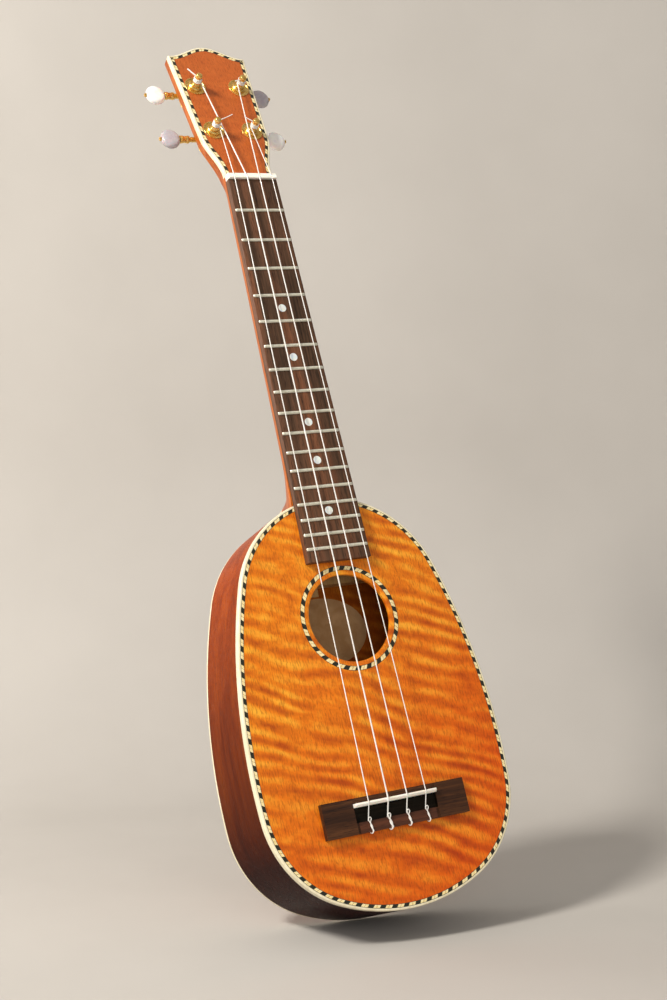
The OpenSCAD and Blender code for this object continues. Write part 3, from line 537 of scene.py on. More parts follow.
def make_materials():
    return {
        "top": curly_wood("koa_top", "#bb540a", "#e67f14", "#fbb034", "#f0b490"),
        "headplate": curly_wood("koa_headplate", "#a84e1c", "#bc5e24", "#cc6e2e", "#e8b090", curl=0.3, turn=-8.0, shade_and_tone_amount=0.5),
        # The sides carry painted shade and painted dark reflection, darker towards the lower end.
        "sides": straight_wood("koa_sides", "#7c2c04", "#983c06", "#ae4e0c", rough=0.3, gloss=0.02, shade="#4a3426",
                               specular=0.02),
        "back": curly_wood("koa_back", "#8a3a0c", "#b05c18", "#cc7a26", "#d89868", gloss=0.4),
        "neck": straight_wood("mahogany_neck", "#8c3e10", "#b0581a", "#c66c26", rough=0.36, gloss=0.1, specular=0.15),
        "plain": straight_wood("spruce_inside", "#b98a52", "#d0a468", "#e0ba82", rough=0.6, gloss=0.0),
        "board": straight_wood("rosewood_board", "#3a2a1c", "#5a3e2c", "#7c4e34", pores="#1c0e08",
                               rough=0.55, gloss=0.0, pore_amount=0.75),
        "bridge": straight_wood("rosewood_bridge", "#2a170c", "#402513", "#5a371e", axis=0, pores="#120806",
                                rough=0.5, gloss=0.05, pore_amount=0.7),
        # Near-black painted shade for the floor and walls of the bridge's recess, darker than the rosewood's own
        # colour.
        "recess": straight_wood("recess_painted_shade", "#0e0c08", "#18140e", "#221a12", axis=0, pores="#080604",
                                rough=0.6, gloss=0.0, specular=0.1),
        "tie": straight_wood("rosewood_tie", "#361e14", "#4e2c1c", "#663a26", axis=0, pores="#2a120c",
                             rough=0.48, gloss=0.05),
        "cream": solid("ivoroid_binding", "#e2d6b2", "#f2e8c8", (2, 2, 14), 0.3, 0.3),
        "rope_cream": solid("rope_cream", "#ecd492", "#f8e8b4", (1.5, 1.5, 3), 0.35, 0.3),
        "rope_tan": solid("rope_tan", "#a8864c", "#c4a464", (1, 1, 3), 0.4, 0.3),
        "rope_dark": solid("rope_dark", "#1a1c14", "#2c2e22", (1, 1, 3), 0.4, 0.15),
        "bone": solid("bone", "#f6efdc", "#fffaf0", (6, 2, 2), 0.3, 0.3, subsurface_weight=0.15,
                      subsurface_scale=0.002),
        "pearl": pearloid("pearl_dots", "#d4d4cc", "#fbf8ee", "#e4ebee"),
        "gold": metal("gold", "#eab048", "#ffdc8c", 0.26, 0.9),
        "nickel": metal("nickel", "#dcd8c0", "#fbf8e8", 0.3, 0.5),
        "white_button": pearloid("pearloid_white", "#f0eae2", "#fbf7f0", "#f4eeee"),
        # Greyer copy of the same pearloid: painted shade for two of the buttons.
        "shaded_button": pearloid("pearloid_painted_shade", "#a8a0a4", "#b8b0b4", "#aca4aa"),
        "string": solid("fluorocarbon", "#f0ece4", "#fffdf8", (2, 2, 9), 0.3, 0.3,
                        transmission_weight=0.15, ior=1.45),
        "paper": solid("paper", "#b08456", "#c49a6c", (9, 9, 9), 0.8),
    }


# ---- Body ----

def soundboard(mats, edge):
    """Plate with a rim groove, a rosette groove and an eased soundhole."""
    angles = [math.atan2(z - HOLE_Z, x) for x, z in edge.loop()]

    def ring(radius, depth):
        return [on_face(radius * math.cos(a), HOLE_Z + radius * math.sin(a), -depth) for a in angles]

    def rim(inset, depth):
        return [on_face(x, z, -depth) for x, z in edge.loop(inset)]

    groove = ROPE_DEPTH + 0.05
    inner = ROSETTE_R - ROSETTE_W
    shape = Shape().loft([
        rim(BINDING_W, TOP_T), rim(BINDING_W, groove), rim(BINDING_W + ROPE_W, groove), rim(BINDING_W + ROPE_W, 0),
        ring(ROSETTE_R, 0), ring(ROSETTE_R, groove), ring(inner, groove), ring(inner, 0),
        ring(HOLE_R + 0.5, 0), ring(HOLE_R + 0.15, 0.15), ring(HOLE_R, 0.5), ring(HOLE_R, TOP_T),
    ], closed=True)
    piece("soundboard_plate", shape, [mats["top"]], stands_for=["soundboard"])


def rope_inlay(name, mats, edge, place, inset, width, stands_for):
    """Slanted cream and dark blocks between two thin dark lines."""
    shape = Shape()
    pairs = round(edge.length / ROPE_PITCH)
    pitch = edge.length / pairs
    outer, inner = inset + ROPE_LINE_W, inset + width - ROPE_LINE_W
    slant = ROPE_SLANT * (inner - outer) / 2

    def block(start, end, slot):
        steps = max(2, math.ceil((end - start) / 0.9))
        loops = []
        for i in range(steps + 1):
            s = mix(start, end, i / steps)
            out, into = edge.at(s + slant, outer), edge.at(s - slant, inner)
            loops.append([place(*out, PROUD), place(*into, PROUD), place(*into, -ROPE_DEPTH), place(*out, -ROPE_DEPTH)])
        shape.loft(loops, slot)

    for n in range(pairs):
        start = n * pitch
        cuts = [0, 0.25, 0.29 + RNG.uniform(-0.01, 0.01), 0.54 + RNG.uniform(-0.02, 0.02), 1]
        for k, slot in enumerate((0, 1, 0, 2)):
            block(start + cuts[k] * pitch, start + cuts[k + 1] * pitch, slot)
    for a, b in ((inset, outer), (inner, inset + width)):
        tops = [(x, z, PROUD) for x, z in edge.loop(a)], [(x, z, PROUD) for x, z in edge.loop(b)]
        loops = [
            [place(*p) for p in (o, i, (i[0], i[1], -ROPE_DEPTH), (o[0], o[1], -ROPE_DEPTH))]
            for o, i in zip(*tops)
        ]
        shape.loft(loops, 2, closed=edge.closed)
    piece(name, shape, [mats["rope_cream"], mats["rope_tan"], mats["rope_dark"]],
          stands_for=stands_for, sharp=30)


def binding(name, mats, edge, place, height, stands_for, ease=0.7):
    """Cream strip on the outer corner, with its edge eased."""
    profile = rounded([(0, 0, ease), (BINDING_W, 0, 0), (BINDING_W, -height, 0), (0, -height, 0.12)])
    ends = [edge.loop(inset) for inset, _ in profile]
    loops = [
        [place(*ends[k][i], profile[k][1]) for k in range(len(profile))]
        for i in range(len(ends[0]))
    ]
    piece(name, Shape().loft(loops, closed=edge.closed), [mats["cream"]],
          stands_for=stands_for)


def sides(mats, edge):
    """Two bent sides between the bindings, joined on the centre line."""
    count = len(edge.loop())
    half = count // 2
    outer, inner = edge.loop(0.0), edge.loop(SIDE_T)
    for name, run in (("side_right", range(0, half + 1)), ("side_left", range(half, count + 1))):
        loops = []
        for i in run:
            o, n = outer[i % count], inner[i % count]
            back = -BACK_BINDING_H
            loops.append([
                on_face(*o, -TOP_BINDING_H), on_face(*n, -TOP_BINDING_H), on_back(*n, back), on_back(*o, back)])
        piece("bent_" + name, Shape().loft(loops), [mats["sides"]], stands_for=[name])


def back_plate(mats, edge):
    """Flat back inside the binding."""
    outline = edge.loop(BINDING_W)
    shape = Shape().loft([[on_back(x, z, 0.0) for x, z in outline], [on_back(x, z, -BACK_T) for x, z in outline]])
    piece("back_plate", shape, [mats["back"]], stands_for=["back"])


# ---- Neck and headstock ----

def board_half_w(z):
    return mix(BOARD_HALF_NUT, BOARD_HIGH.x, (BOARD_HIGH.z - z) / (BOARD_HIGH.z - BOARD_LOW.z))


def heel_radius(angle, z):
    """How far the heel reaches from the middle of the fretboard's underside, in one section of the neck."""
    r = np.arange(0.5, 60, 0.1)
    x, depth = r * math.cos(angle), r * math.sin(angle)
    half_w, reach = np.interp(depth, HEEL_DEPTH, HEEL_HALF_W), np.interp(depth, HEEL_DEPTH, HEEL_REACH)
    inside = ((x / half_w) ** 2 + ((z - HEEL_ROOT_Z) / reach) ** 2 < 1) & (depth < HEEL_DEPTH[-1])
    return float(r[inside].max()) if inside.any() else 0.0


def shaft_point(angle, z):
    """Point of the neck's surface in the section at z: the shaft's half ellipse blended into the heel."""
    half_w = board_half_w(z)
    depth = mix(NECK_D_HEEL, NECK_D_NUT, (z - HEEL_ROOT_Z) / (NUT_LOW.z - HEEL_ROOT_Z))
    shaft = 1 / math.hypot(math.cos(angle) / half_w, math.sin(angle) / depth)
    heel = heel_radius(angle, z) if z < 190 else 0.0
    r = (shaft ** 9 + heel ** 9) ** (1 / 9)
    return r * math.cos(angle), r * math.sin(angle)


def shoulder_z(x):
    """Height of the body's shoulder at a distance from the centre line."""
    centre = BODY_TOP_Z - SHOULDER_RADIUS
    return centre + math.sqrt(SHOULDER_RADIUS ** 2 - x * x)


def neck(mats):
    """Heel, shaft and headstock in one skin, cut for the binding and the tuner bushings."""
    angles = [math.pi * k / 48 for k in range(49)]
    loops, first = [], []
    for a in angles:
        z = BODY_TOP_Z
        for _ in range(4):
            x, depth = shaft_point(a, z)
            z = shoulder_z(x)
        first.append((x, depth, z))
    loops.append([(x, FACE_Y + d, z + 0.02) for x, d, z in first]
                 + [(x, FACE_Y, z + 0.02) for x, _, z in reversed(first)])
    heights = list(np.arange(153.5, 192, 1.4)) + list(np.arange(194, 348, 7.0))
    for z in heights:
        back = [shaft_point(a, z) for a in angles]
        loops.append([(x, FACE_Y + d, z) for x, d in back] + [(x, FACE_Y, z) for x, _ in reversed(back)])
    for s in list(np.arange(349, 363, 2.0)) + list(np.arange(363.4, 398, 2.2)) + [404, 414, 425]:
        u = s - HEAD_Z
        turn = smooth_step((s - 349) / 34) * HEAD_TILT
        square = 2 / mix(2.0, 9.0, smooth_step((s - 352) / 34))
        depth = mix(NECK_D_NUT, HEAD_T - HEADPLATE_T, smooth_step((s - 352) / 34))
        half_w = board_half_w(s) if u < 0 else head_half_width(u)
        back, front = [], []
        for a in angles:
            c, v = math.cos(a), math.sin(a)
            x = half_w * math.copysign(abs(c) ** square, c)
            root = (x, FACE_Y, s) if u < 0 else on_head(x, u, -HEADPLATE_T)
            d = depth * v ** square
            back.append((x, root[1] + d * math.cos(turn), root[2] - d * math.sin(turn)))
            front.append(root)
        loops.append(back + front[::-1])
    last = s - HEAD_Z
    for t in (0.25, 0.5, 0.75, 1.0):
        back, front = [], []
        for a in angles:
            c, v = math.cos(a), math.sin(a)
            share = math.copysign(abs(c) ** (2 / 9), c)
            u = mix(last, crest_u(share * HEAD_HALF_TOP), t)
            x = share * head_half_width(u)
            back.append(on_head(x, u, -HEADPLATE_T - (HEAD_T - HEADPLATE_T) * v ** (2 / 9)))
            front.append(on_head(x, u, -HEADPLATE_T))
        loops.append(back + front[::-1])
    shape = Shape().loft(loops, capped=False)
    n = len(loops[0])
    for start in (0, len(shape.points) - n):
        for k in range(len(angles) - 1):
            shape.face((start + k, start + k + 1, start + n - 2 - k, start + n - 1 - k), 0)
    made = piece("neck_and_headstock", shape, [mats["neck"]], stands_for=["neck"], weld=True)
    cut = Shape()
    rim = head_edge()
    corners = [(-2, 3), (BINDING_W + 0.01, 3), (BINDING_W + 0.01, -HEAD_BINDING_H), (-2, -HEAD_BINDING_H)]
    ends = [rim.loop(inset) for inset, _ in corners]
    cut.loft([[on_head(*ends[k][i], corners[k][1]) for k in range(4)] for i in range(len(ends[0]))])
    for t in TUNERS:
        cut.lathe(t.post, [(BUSHING_R, -3), (BUSHING_R, HEAD_T + 3)])
    carve(made, cut, tangled=True)


def headplate(mats, rim):
    """Veneer inside the rope strip, drilled for the tuners."""
    outline = rim.loop(BINDING_W + ROPE_W)
    shape = Shape().loft([[on_head(x, u, -HEADPLATE_T + 0.02) for x, u in outline],
                          [on_head(x, u, 0.0) for x, u in outline]])
    made = piece("headplate_veneer", shape, [mats["headplate"]], stands_for=["headplate"])
    holes = Shape()
    for t in TUNERS:
        holes.lathe(t.post, [(BUSHING_R, HEAD_T - 4), (BUSHING_R, HEAD_T + 3)])
    carve(made, holes)


def heel_cap(mats):
    """Cream cap on the end of the heel, fitted to the round shoulder."""
    steps = [math.pi * k / 30 for k in range(31)]
    half_w, reach = HEEL_HALF_W[-1], HEEL_REACH[-1]
    far = []
    for a in steps:
        x, z = half_w * math.cos(a), HEEL_ROOT_Z + reach * math.sin(a)
        if z > shoulder_z(x):
            far.append((x, z))
    near = [(x, shoulder_z(x) + 0.02) for x in np.linspace(far[-1][0], far[0][0], 13)[1:-1]]
    outline = far + near
    depth0, depth1 = CAP_LOW.y - FACE_Y, CAP_HIGH.y - FACE_Y
    shape = Shape().loft([[on_face(x, z, -depth0) for x, z in outline], [on_face(x, z, -depth1) for x, z in outline]])
    piece("heel_cap_plate", shape, [mats["cream"]], stands_for=["heel_cap"], bevel=0.3)


def fret_z(n):
    return NUT_LOW.z - SCALE_LENGTH * (1 - 2 ** (-n / 12))


def fretboard(mats):
    """Tapered board, frets with rounded ends and pearl dots."""
    top = -BOARD_LOW.y + FACE_Y
    loops = []
    for z in np.linspace(BOARD_LOW.z, BOARD_HIGH.z, 12):
        w = board_half_w(z)
        profile = rounded([(-w, 0.02, 0), (w, 0.02, 0), (w, top, 0.55), (-w, top, 0.55)])
        loops.append([on_face(x, z, h) for x, h in profile])
    piece("fretboard_plate", Shape().loft(loops), [mats["board"]], stands_for=["fretboard"], bevel=0.25)

    wires = Shape()
    for n in range(1, FRET_COUNT + 1):
        half_l = board_half_w(fret_z(n)) - 0.5
        loops = []
        for s in np.linspace(-1, 1, 25):
            x = half_l * math.sin(s * math.pi / 2)
            over = max(0.0, abs(x) - (half_l - 1.0))
            size = math.sqrt(max(0.02, 1 - over * over))
            arc = [math.pi * k / 10 for k in range(11)]
            loops.append([on_face(x, fret_z(n) + 0.95 * math.cos(a) * mix(0.75, 1, size), top + 0.9 * math.sin(a) * size)
                          for a in arc])
        wires.loft(loops)
    piece("fret_wires", wires, [mats["nickel"]], stands_for=["frets"])

    dots = Shape()
    for n in DOT_FRETS:
        z = (fret_z(n) + fret_z(n - 1)) / 2
        dots.lathe(lambda a, b, h, z=z: on_face(a, z + b, h),
                   [(DOT_R, top - 0.9), (DOT_R, top), (DOT_R - 0.3, top + 0.05), (0.01, top + 0.08)])
    piece("pearl_dots", dots, [mats["pearl"]], stands_for=["position_dots"])


# ---- Strings, nut and bridge ----

def string_x(i, spacing):
    return (i - 1.5) * spacing


def nut_point(i):
    return on_face(string_x(i, NUT_SPACING), NUT_LOW.z + 0.8, STRING_NUT_H + STRING_R[i])


class Tuner:
    """One tuner, with its places worked out from its two joints."""

    def __init__(self, index, name):
        self.index, self.name = index, name
        post = head_local([c / MM for c in JOINTS["post_turn_" + name]["pos_m"]])
        worm = head_local([c / MM for c in JOINTS["knob_turn_" + name]["pos_m"]])
        self.x, self.u = post[0], post[1]
        self.worm_u, self.worm_w = worm[1], worm[2]
        self.side = -1 if self.x < 0 else 1
        button_low, button_high = box_mm("button_" + name)
        self.reach = abs((button_low.x + button_high.x) / 2 - self.x)

    def post(self, a, b, c):
        """c runs forward from the back of the headstock along the post."""
        return on_head(self.x + a, self.u + b, c - HEAD_T)

    def shaft(self, a, b, c):
        """c runs outboard along the shaft, a towards the front and b up the headstock."""
        return on_head(self.x + self.side * c, self.worm_u + b, self.worm_w + a)

    def tangent_angle(self):
        """Where the string meets the post's waist, on the side that faces the centre line."""
        start = head_local(nut_point(self.index))
        dx, du = start[0] - self.x, start[1] - self.u
        r = POST_WAIST_R + STRING_R[self.index] + 0.04
        lean = math.acos(r / math.hypot(dx, du))
        return math.atan2(du, dx) + (lean if self.x < 0 else -lean)

    def around(self, angle, radius, w):
        return on_head(self.x + radius * math.cos(angle), self.u + radius * math.sin(angle), w)


TUNERS = [Tuner(i, name) for i, name in enumerate(("lower_left", "upper_left", "upper_right", "lower_right"))]


def knot(shape, i):
    """String end: out of its hole, over the tie block, round the string and back in a twist."""
    r, x = STRING_R[i], string_x(i, SADDLE_SPACING)
    low, high = BRIDGE_LOW.z, TIE_Z
    top = TIE_H + r + 0.05
    lean = 0.9
    loop_r = 0.85

    def over(t, side):
        """Strand along the top of the block; t runs from its front edge to its lower edge."""
        turn = side * math.pi / 2 + math.pi * 1.6 * t
        return on_face(x + lean * t + 0.95 * r * math.sin(turn), mix(high - 0.3, low + 0.2, t),
                       top + 0.75 * r + 0.95 * r * math.cos(turn))

    start = [on_face(x, low + 1.5, TIE_HOLE_H), on_face(x, low - 0.5, TIE_HOLE_H),
             on_face(x + 0.5, low - 0.75, TIE_HOLE_H + 1.0)]
    out = [over(t, 1) for t in (0.97, 0.75, 0.5, 0.25, 0.05)]
    ring = [on_face(x + loop_r * math.sin(a), high + 0.1 + 0.75 - 1.0 * math.cos(a), top + 0.5 + 0.5 * (1 - math.cos(a)) / 2)
            for a in (math.radians(d) for d in (50, 100, 150, 200, 250, 305))]
    back = [over(t, -1) for t in (0.05, 0.25, 0.5, 0.75, 0.95)]
    tail = [on_face(x + lean + 0.1, low - 0.55, TIE_H - 0.3), on_face(x + lean + 0.2, low - 0.7, TIE_H - 1.6)]
    shape.tube(spline(start + out + ring + back + tail, 5), r, sides=10)


def strings(mats):
    """Four strings from their knots to their posts."""
    shape = Shape()
    for t in TUNERS:
        i, r = t.index, STRING_R[t.index]
        x = string_x(i, SADDLE_SPACING)
        saddle_z = (SADDLE_LOW.z + SADDLE_HIGH.z) / 2
        crown = -SADDLE_LOW.y + FACE_Y + r
        end = t.around(t.tangent_angle(), POST_WAIST_R + r + 0.04, STRING_POST_W)
        nut = Vector(nut_point(i))
        up, down = (Vector(end) - nut).normalized(), (Vector(on_face(x, saddle_z, crown)) - nut).normalized()
        path = [
            on_face(x, TIE_Z - 1.0, TIE_HOLE_H), on_face(x, TIE_Z + 0.4, TIE_HOLE_H + 0.15),
            on_face(x, saddle_z - 0.5, crown - 0.3), on_face(x, saddle_z, crown), on_face(x, saddle_z + 1.2, crown - 0.01),
            nut + down * 1.6, nut, nut + up * 1.6, end,
        ]
        shape.tube(path, r, sides=14)
        knot(shape, i)
    piece("string_set", shape, [mats["string"]], stands_for=["strings"], sharp=60)


def winding(mats, t):
    """Turns of the string round its post, and the cut end that stands out of the post's hole."""
    i, r = t.index, STRING_R[t.index]
    start = t.tangent_angle()
    way = 1 if t.x < 0 else -1
    tail = math.radians(TAIL_ANGLES[i])
    first, last = STRING_POST_W, STRING_POST_W + (WINDING_TURNS[i] + 0.5) * 2 * (r + 0.02)
    sweep = (way * (tail + math.pi - start)) % (2 * math.pi) + 2 * math.pi * (WINDING_TURNS[i] - 1)
    radius = POST_WAIST_R + r + 0.04
    steps = int(sweep / 0.2)
    path = [t.around(start + way * sweep * k / steps, radius, mix(first, last, k / steps)) for k in range(steps + 1)]
    path.append(t.around(tail + math.pi, 1.2, last + 0.15))
    path.append(t.around(tail, 1.4, last + 0.25))
    path.append(t.around(tail, TAIL_LENGTHS[i] * 0.6, last + 0.35))
    path.append(t.around(tail, TAIL_LENGTHS[i], last + 0.6))
    name = "winding_" + t.name
    piece("coil_" + t.name, Shape().tube(path, r, sides=10), [mats["string"]],
          body="post_" + t.name, stands_for=[name], sharp=60)


def nut(mats):
    """Bright nut with a rounded back slope and a shallow slot for each string."""
    low, high, h = NUT_LOW.z, NUT_HIGH.z, FACE_Y - NUT_LOW.y
    profile = rounded([(low, 0.02, 0), (low, h, 0.35), (low + 1.3, h, 0.8), (high, h - 1.2, 0.9), (high, 0.02, 0)])
    shape = Shape().loft([[on_face(x, z, hh) for z, hh in profile] for x in (-NUT_HIGH.x, NUT_HIGH.x)])
    made = piece("nut_bar", shape, [mats["bone"]], stands_for=["nut"], bevel=0.3)
    cut = Shape()
    for i in range(4):
        r, p = STRING_R[i] + 0.05, nut_point(i)
        path = [(p[0], p[1], low - 1), p, (p[0], p[1] + 1.6, high + 1)]
        half = [(-r, 0), (-r, 3), (r, 3), (r, 0), (r * 0.7, -r * 0.7), (0, -r), (-r * 0.7, -r * 0.7)]
        cut.loft([[(q[0] + a, q[1] - b, q[2]) for a, b in half] for q in path])
    carve(made, cut)


def saddle(mats):
    """Cream saddle with a rounded crown."""
    low, high, h = SADDLE_LOW.z, SADDLE_HIGH.z, FACE_Y - SADDLE_LOW.y
    profile = rounded([(low, RECESS_H, 0), (high, RECESS_H, 0), (high, h, 0.5), (low + 1.1, h, 0.6), (low, h - 1.2, 0.3)])
    loops = []
    for x, drop in ((-SADDLE_HIGH.x, 0.9), (-SADDLE_HIGH.x + 0.35, 0.3), (-SADDLE_HIGH.x + 1.0, 0.0),
                    (SADDLE_HIGH.x - 1.0, 0.0), (SADDLE_HIGH.x - 0.35, 0.3), (SADDLE_HIGH.x, 0.9)):
        loops.append([on_face(x, z, hh - drop * (hh > h - 2.5)) for z, hh in profile])
    piece("saddle_bar", Shape().loft(loops), [mats["bone"]], stands_for=["saddle"])


def bridge(mats):
    """Bridge with square wings, a ledge behind the saddle, a deep recess lined with near-black painted shade, and a
    reddish tie block.
    """
    half_l, inner = BRIDGE_HIGH.x, SADDLE_HIGH.x + 0.02
    low, high = BRIDGE_LOW.z, BRIDGE_HIGH.z
    slot_high = SADDLE_HIGH.z + 0.02
    saddle_w = SADDLE_HIGH.z - SADDLE_LOW.z + 0.04
    wing = [(low, 0.02), (low, WING_H), (high, WING_H), (high, 0.02)]
    dark = Shape()
    for a, b in ((-half_l, -inner), (inner, half_l)):
        dark.loft([[on_face(x, z, h) for z, h in wing] for x in (a, b)])
    middle = [(TIE_Z, 0.02), (TIE_Z, RECESS_H), (slot_high, RECESS_H), (slot_high, LEDGE_H), (high, LEDGE_H), (high, 0.02)]
    dark.loft([[on_face(x, z, h) for z, h in middle] for x in (-inner, inner)])
    # Thin near-black sheet on the recess floor: painted shade.
    painted_shade_floor = [(TIE_Z + 0.02, RECESS_H), (TIE_Z + 0.02, RECESS_H + 0.05), (slot_high - saddle_w, RECESS_H + 0.05),
             (slot_high - saddle_w, RECESS_H)]
    dark.loft([[on_face(x, z, h) for z, h in painted_shade_floor] for x in (-inner, inner)], 2)
    # Thin near-black sheets over the recess walls: painted shade.
    for x in (-inner, inner):
        side = math.copysign(0.05, -x)
        dark.loft([[on_face(x + a, z, h) for a, z, h in (
            (0, TIE_Z, RECESS_H), (side, TIE_Z, RECESS_H), (side, TIE_Z, TIE_H - 0.1), (0, TIE_Z, TIE_H - 0.1))],
            [on_face(x + a, z, h) for a, z, h in (
                (0, slot_high - saddle_w, RECESS_H), (side, slot_high - saddle_w, RECESS_H),
                (side, slot_high - saddle_w, TIE_H - 0.1), (0, slot_high - saddle_w, TIE_H - 0.1))]], 2)
    tie = [(low, 0.02), (low, TIE_H), (TIE_Z, TIE_H), (TIE_Z, 0.02)]
    dark.loft([[on_face(x, z, h) for z, h in tie] for x in (-inner + 1.6, inner - 1.6)], 1)
    for a, b in ((-inner, -inner + 1.6), (inner - 1.6, inner)):
        dark.loft([[on_face(x, z, h * 0.86) for z, h in tie] for x in (a, b)])
    piece("bridge_block", dark, [mats["bridge"], mats["tie"], mats["recess"]], stands_for=["bridge"], bevel=0.28)


# ---- Tuners ----

def slotted_head(place, radius, height, depth, slot_w=0.4):
    """Screw head with a dished rim and a cut slot, made of two half discs and a lower web."""
    shape = Shape()
    for side in (-1, 1):
        arc = [side * (math.asin(slot_w / 2 / radius) + (math.pi - 2 * math.asin(slot_w / 2 / radius)) * k / 14)
               for k in range(15)]
        rims = []
        for h, grow in ((0.0, 0.0), (height * 0.6, 0.0), (height, -0.25)):
            rims.append([place((radius + grow) * math.cos(a), (radius + grow) * math.sin(a), h) for a in arc])
        shape.loft(rims)
    web = [2 * math.pi * k / 24 for k in range(24)]
    shape.loft([[place(r * math.cos(a), r * math.sin(a), h) for a in web]
                for r, h in ((radius - 0.04, 0.01), (radius - 0.04, height - depth))])
    return shape


def tuner_fixed(mats):
    """Washers, bushings, base plates with lugs, and plate screws of all four tuners."""
    washers, bushings, plates, screws = Shape(), Shape(), Shape(), Shape()
    top = HEAD_T
    for t in TUNERS:
        ring = rounded([(BUSHING_R + 0.02, top + 0.02, 0), (WASHER_R, top + 0.02, 0), (WASHER_R, top + WASHER_T, 0.28),
                        (WASHER_R - 0.85, top + WASHER_T, 0.25), (WASHER_R - 1.1, top + 0.3, 0.1),
                        (BUSHING_R + 0.02, top + 0.3, 0)])
        washers.lathe(t.post, ring, sides=56, closed=True)
        sleeve = rounded([(3.0, 0.4, 0), (BUSHING_R - 0.02, 0.4, 0.1), (BUSHING_R - 0.02, top + 0.32, 0),
                          (FLANGE_R, top + 0.34, 0.1), (FLANGE_R, top + 1.1, 0.3), (FLANGE_R - 0.7, top + FLANGE_TOP, 0.3),
                          (3.0, top + FLANGE_TOP, 0.15)])
        bushings.lathe(t.post, sleeve, sides=48, closed=True)
        half_w, u0, u1, cut = 8.4, -9.2, 13.0, 3.0
        outline = rounded([(-half_w, u0, cut), (half_w, u0, cut), (half_w, u1, cut), (-half_w, u1, cut)], 6)
        plates.loft([[t.post(a, b, -c) for a, b in outline] for c in (0.02, PLATE_T)])
        for s in (-1, 1):
            lug = 2.4 + 0.15 + LUG_T / 2
            worm_b, worm_c = t.worm_u - t.u, t.worm_w + HEAD_T
            ear = rounded([(worm_b - LUG_HALF_W, -PLATE_T + 0.2, 0), (worm_b + LUG_HALF_W, -PLATE_T + 0.2, 0),
                           (worm_b + LUG_HALF_W, worm_c - 2.2, 1.5), (worm_b - LUG_HALF_W, worm_c - 2.2, 1.5)], 5)
            plates.loft([[t.post(s * lug + dx, b, c) for b, c in ear] for dx in (-LUG_T / 2, LUG_T / 2)])
        for u in PLATE_SCREW_U:
            head = slotted_head(lambda a, b, h, t=t, u=u: t.post(a, u + b, -PLATE_T - h), 1.6, 0.9, 0.5)
            base = len(screws.points)
            screws.points.extend(head.points)
            screws.faces.extend(tuple(base + k for k in f) for f in head.faces)
            screws.slots.extend(head.slots)
    piece("washer_rings", washers, [mats["gold"]], stands_for=["tuner_washers"])
    piece("bushing_sleeves", bushings, [mats["gold"]], stands_for=["tuner_bushings"])
    made = piece("tuner_base_plates", plates, [mats["gold"]], stands_for=["tuner_plates"], bevel=0.15)
    holes = Shape()
    for t in TUNERS:
        holes.lathe(t.post, [(3.0, -3), (3.0, 1)])
        holes.lathe(t.shaft, [(SHAFT_R + 0.05, -8), (SHAFT_R + 0.05, 8)], sides=24)
    carve(made, holes, tangled=True)
    piece("plate_screw_heads", screws, [mats["gold"]], stands_for=["plate_screws"])


def string_post(mats, t):
    """Turned post with a waist for the string and a rounded cap."""
    top, wheel_mid = HEAD_T + POST_H, t.worm_w + HEAD_T
    waist = HEAD_T + FLANGE_TOP
    profile = [(0.01, wheel_mid - 1.05), (1.47, wheel_mid - 1.05), (1.47, wheel_mid + 1.12), (POST_R, wheel_mid + 1.12)]
    profile += rounded([(POST_R, waist + 0.2, 0), (POST_R, waist + 0.6, 0.3), (POST_WAIST_R + 0.35, waist + 0.9, 0.3),
                        (POST_WAIST_R, waist + 1.6, 0.5), (POST_WAIST_R, top - 2.5, 0.4), (POST_CAP_R - 0.05, top - 2.2, 0.25),
                        (POST_CAP_R, top - 1.3, 0.6), (POST_CAP_R - 0.5, top - 0.2, 0.8), (0.7, top, 0.3), (0.02, top, 0)], 4)
    piece("string_post_" + t.name, Shape().lathe(t.post, profile, sides=40), [mats["gold"]],
          body="post_" + t.name, stands_for=["post_" + t.name], sharp=40)


def worm_gear(mats, t):
    """Shaft with its thread between the lugs, and the collar that carries the button."""
    name = "worm_shaft_" + t.name
    half = 1.5 * THREAD_PITCH
    shape = Shape()
    loops = []
    for c in np.linspace(-half, half, 61):
        loop = []
        for k in range(32):
            a = 2 * math.pi * k / 32
            phase = (c / THREAD_PITCH - (a + math.pi / 2) / (2 * math.pi)) % 1.0
            off = min(phase, 1 - phase)
            r = mix(THREAD_TIP_R, THREAD_ROOT_R, smooth_step((off - 0.1) / 0.15))
            loop.append(on_head(t.x + c, t.worm_u + r * math.sin(a), t.worm_w - r * math.cos(a)))
        loops.append(loop)
    shape.loft(loops)
    lug_out = half + 0.15 + LUG_T
    button_in = t.reach - BUTTON_RADIUS
    collar = rounded([(0.01, -lug_out - 0.4, 0), (SHAFT_R, -lug_out - 0.4, 0.2), (SHAFT_R, lug_out + 0.15, 0),
                      (1.7, lug_out + 0.15, 0.2), (1.7, button_in - 6.4, 0.3), (2.4, button_in - 6.0, 0.3),
                      (2.45, button_in - 5.0, 0.4), (2.2, button_in - 4.0, 0.6), (2.2, button_in - 2.6, 0.6),
                      (2.5, button_in - 1.4, 0.4), (2.5, button_in - 0.4, 0.3), (2.35, button_in - 0.05, 0.1),
                      (0.95, button_in - 0.05, 0), (0.95, button_in + 9, 0), (0.01, button_in + 9, 0)], 4)
    shape.lathe(t.shaft, collar, sides=36)
    piece("worm_" + t.name, shape, [mats["gold"]], body="knob_" + t.name, stands_for=[name], sharp=40)


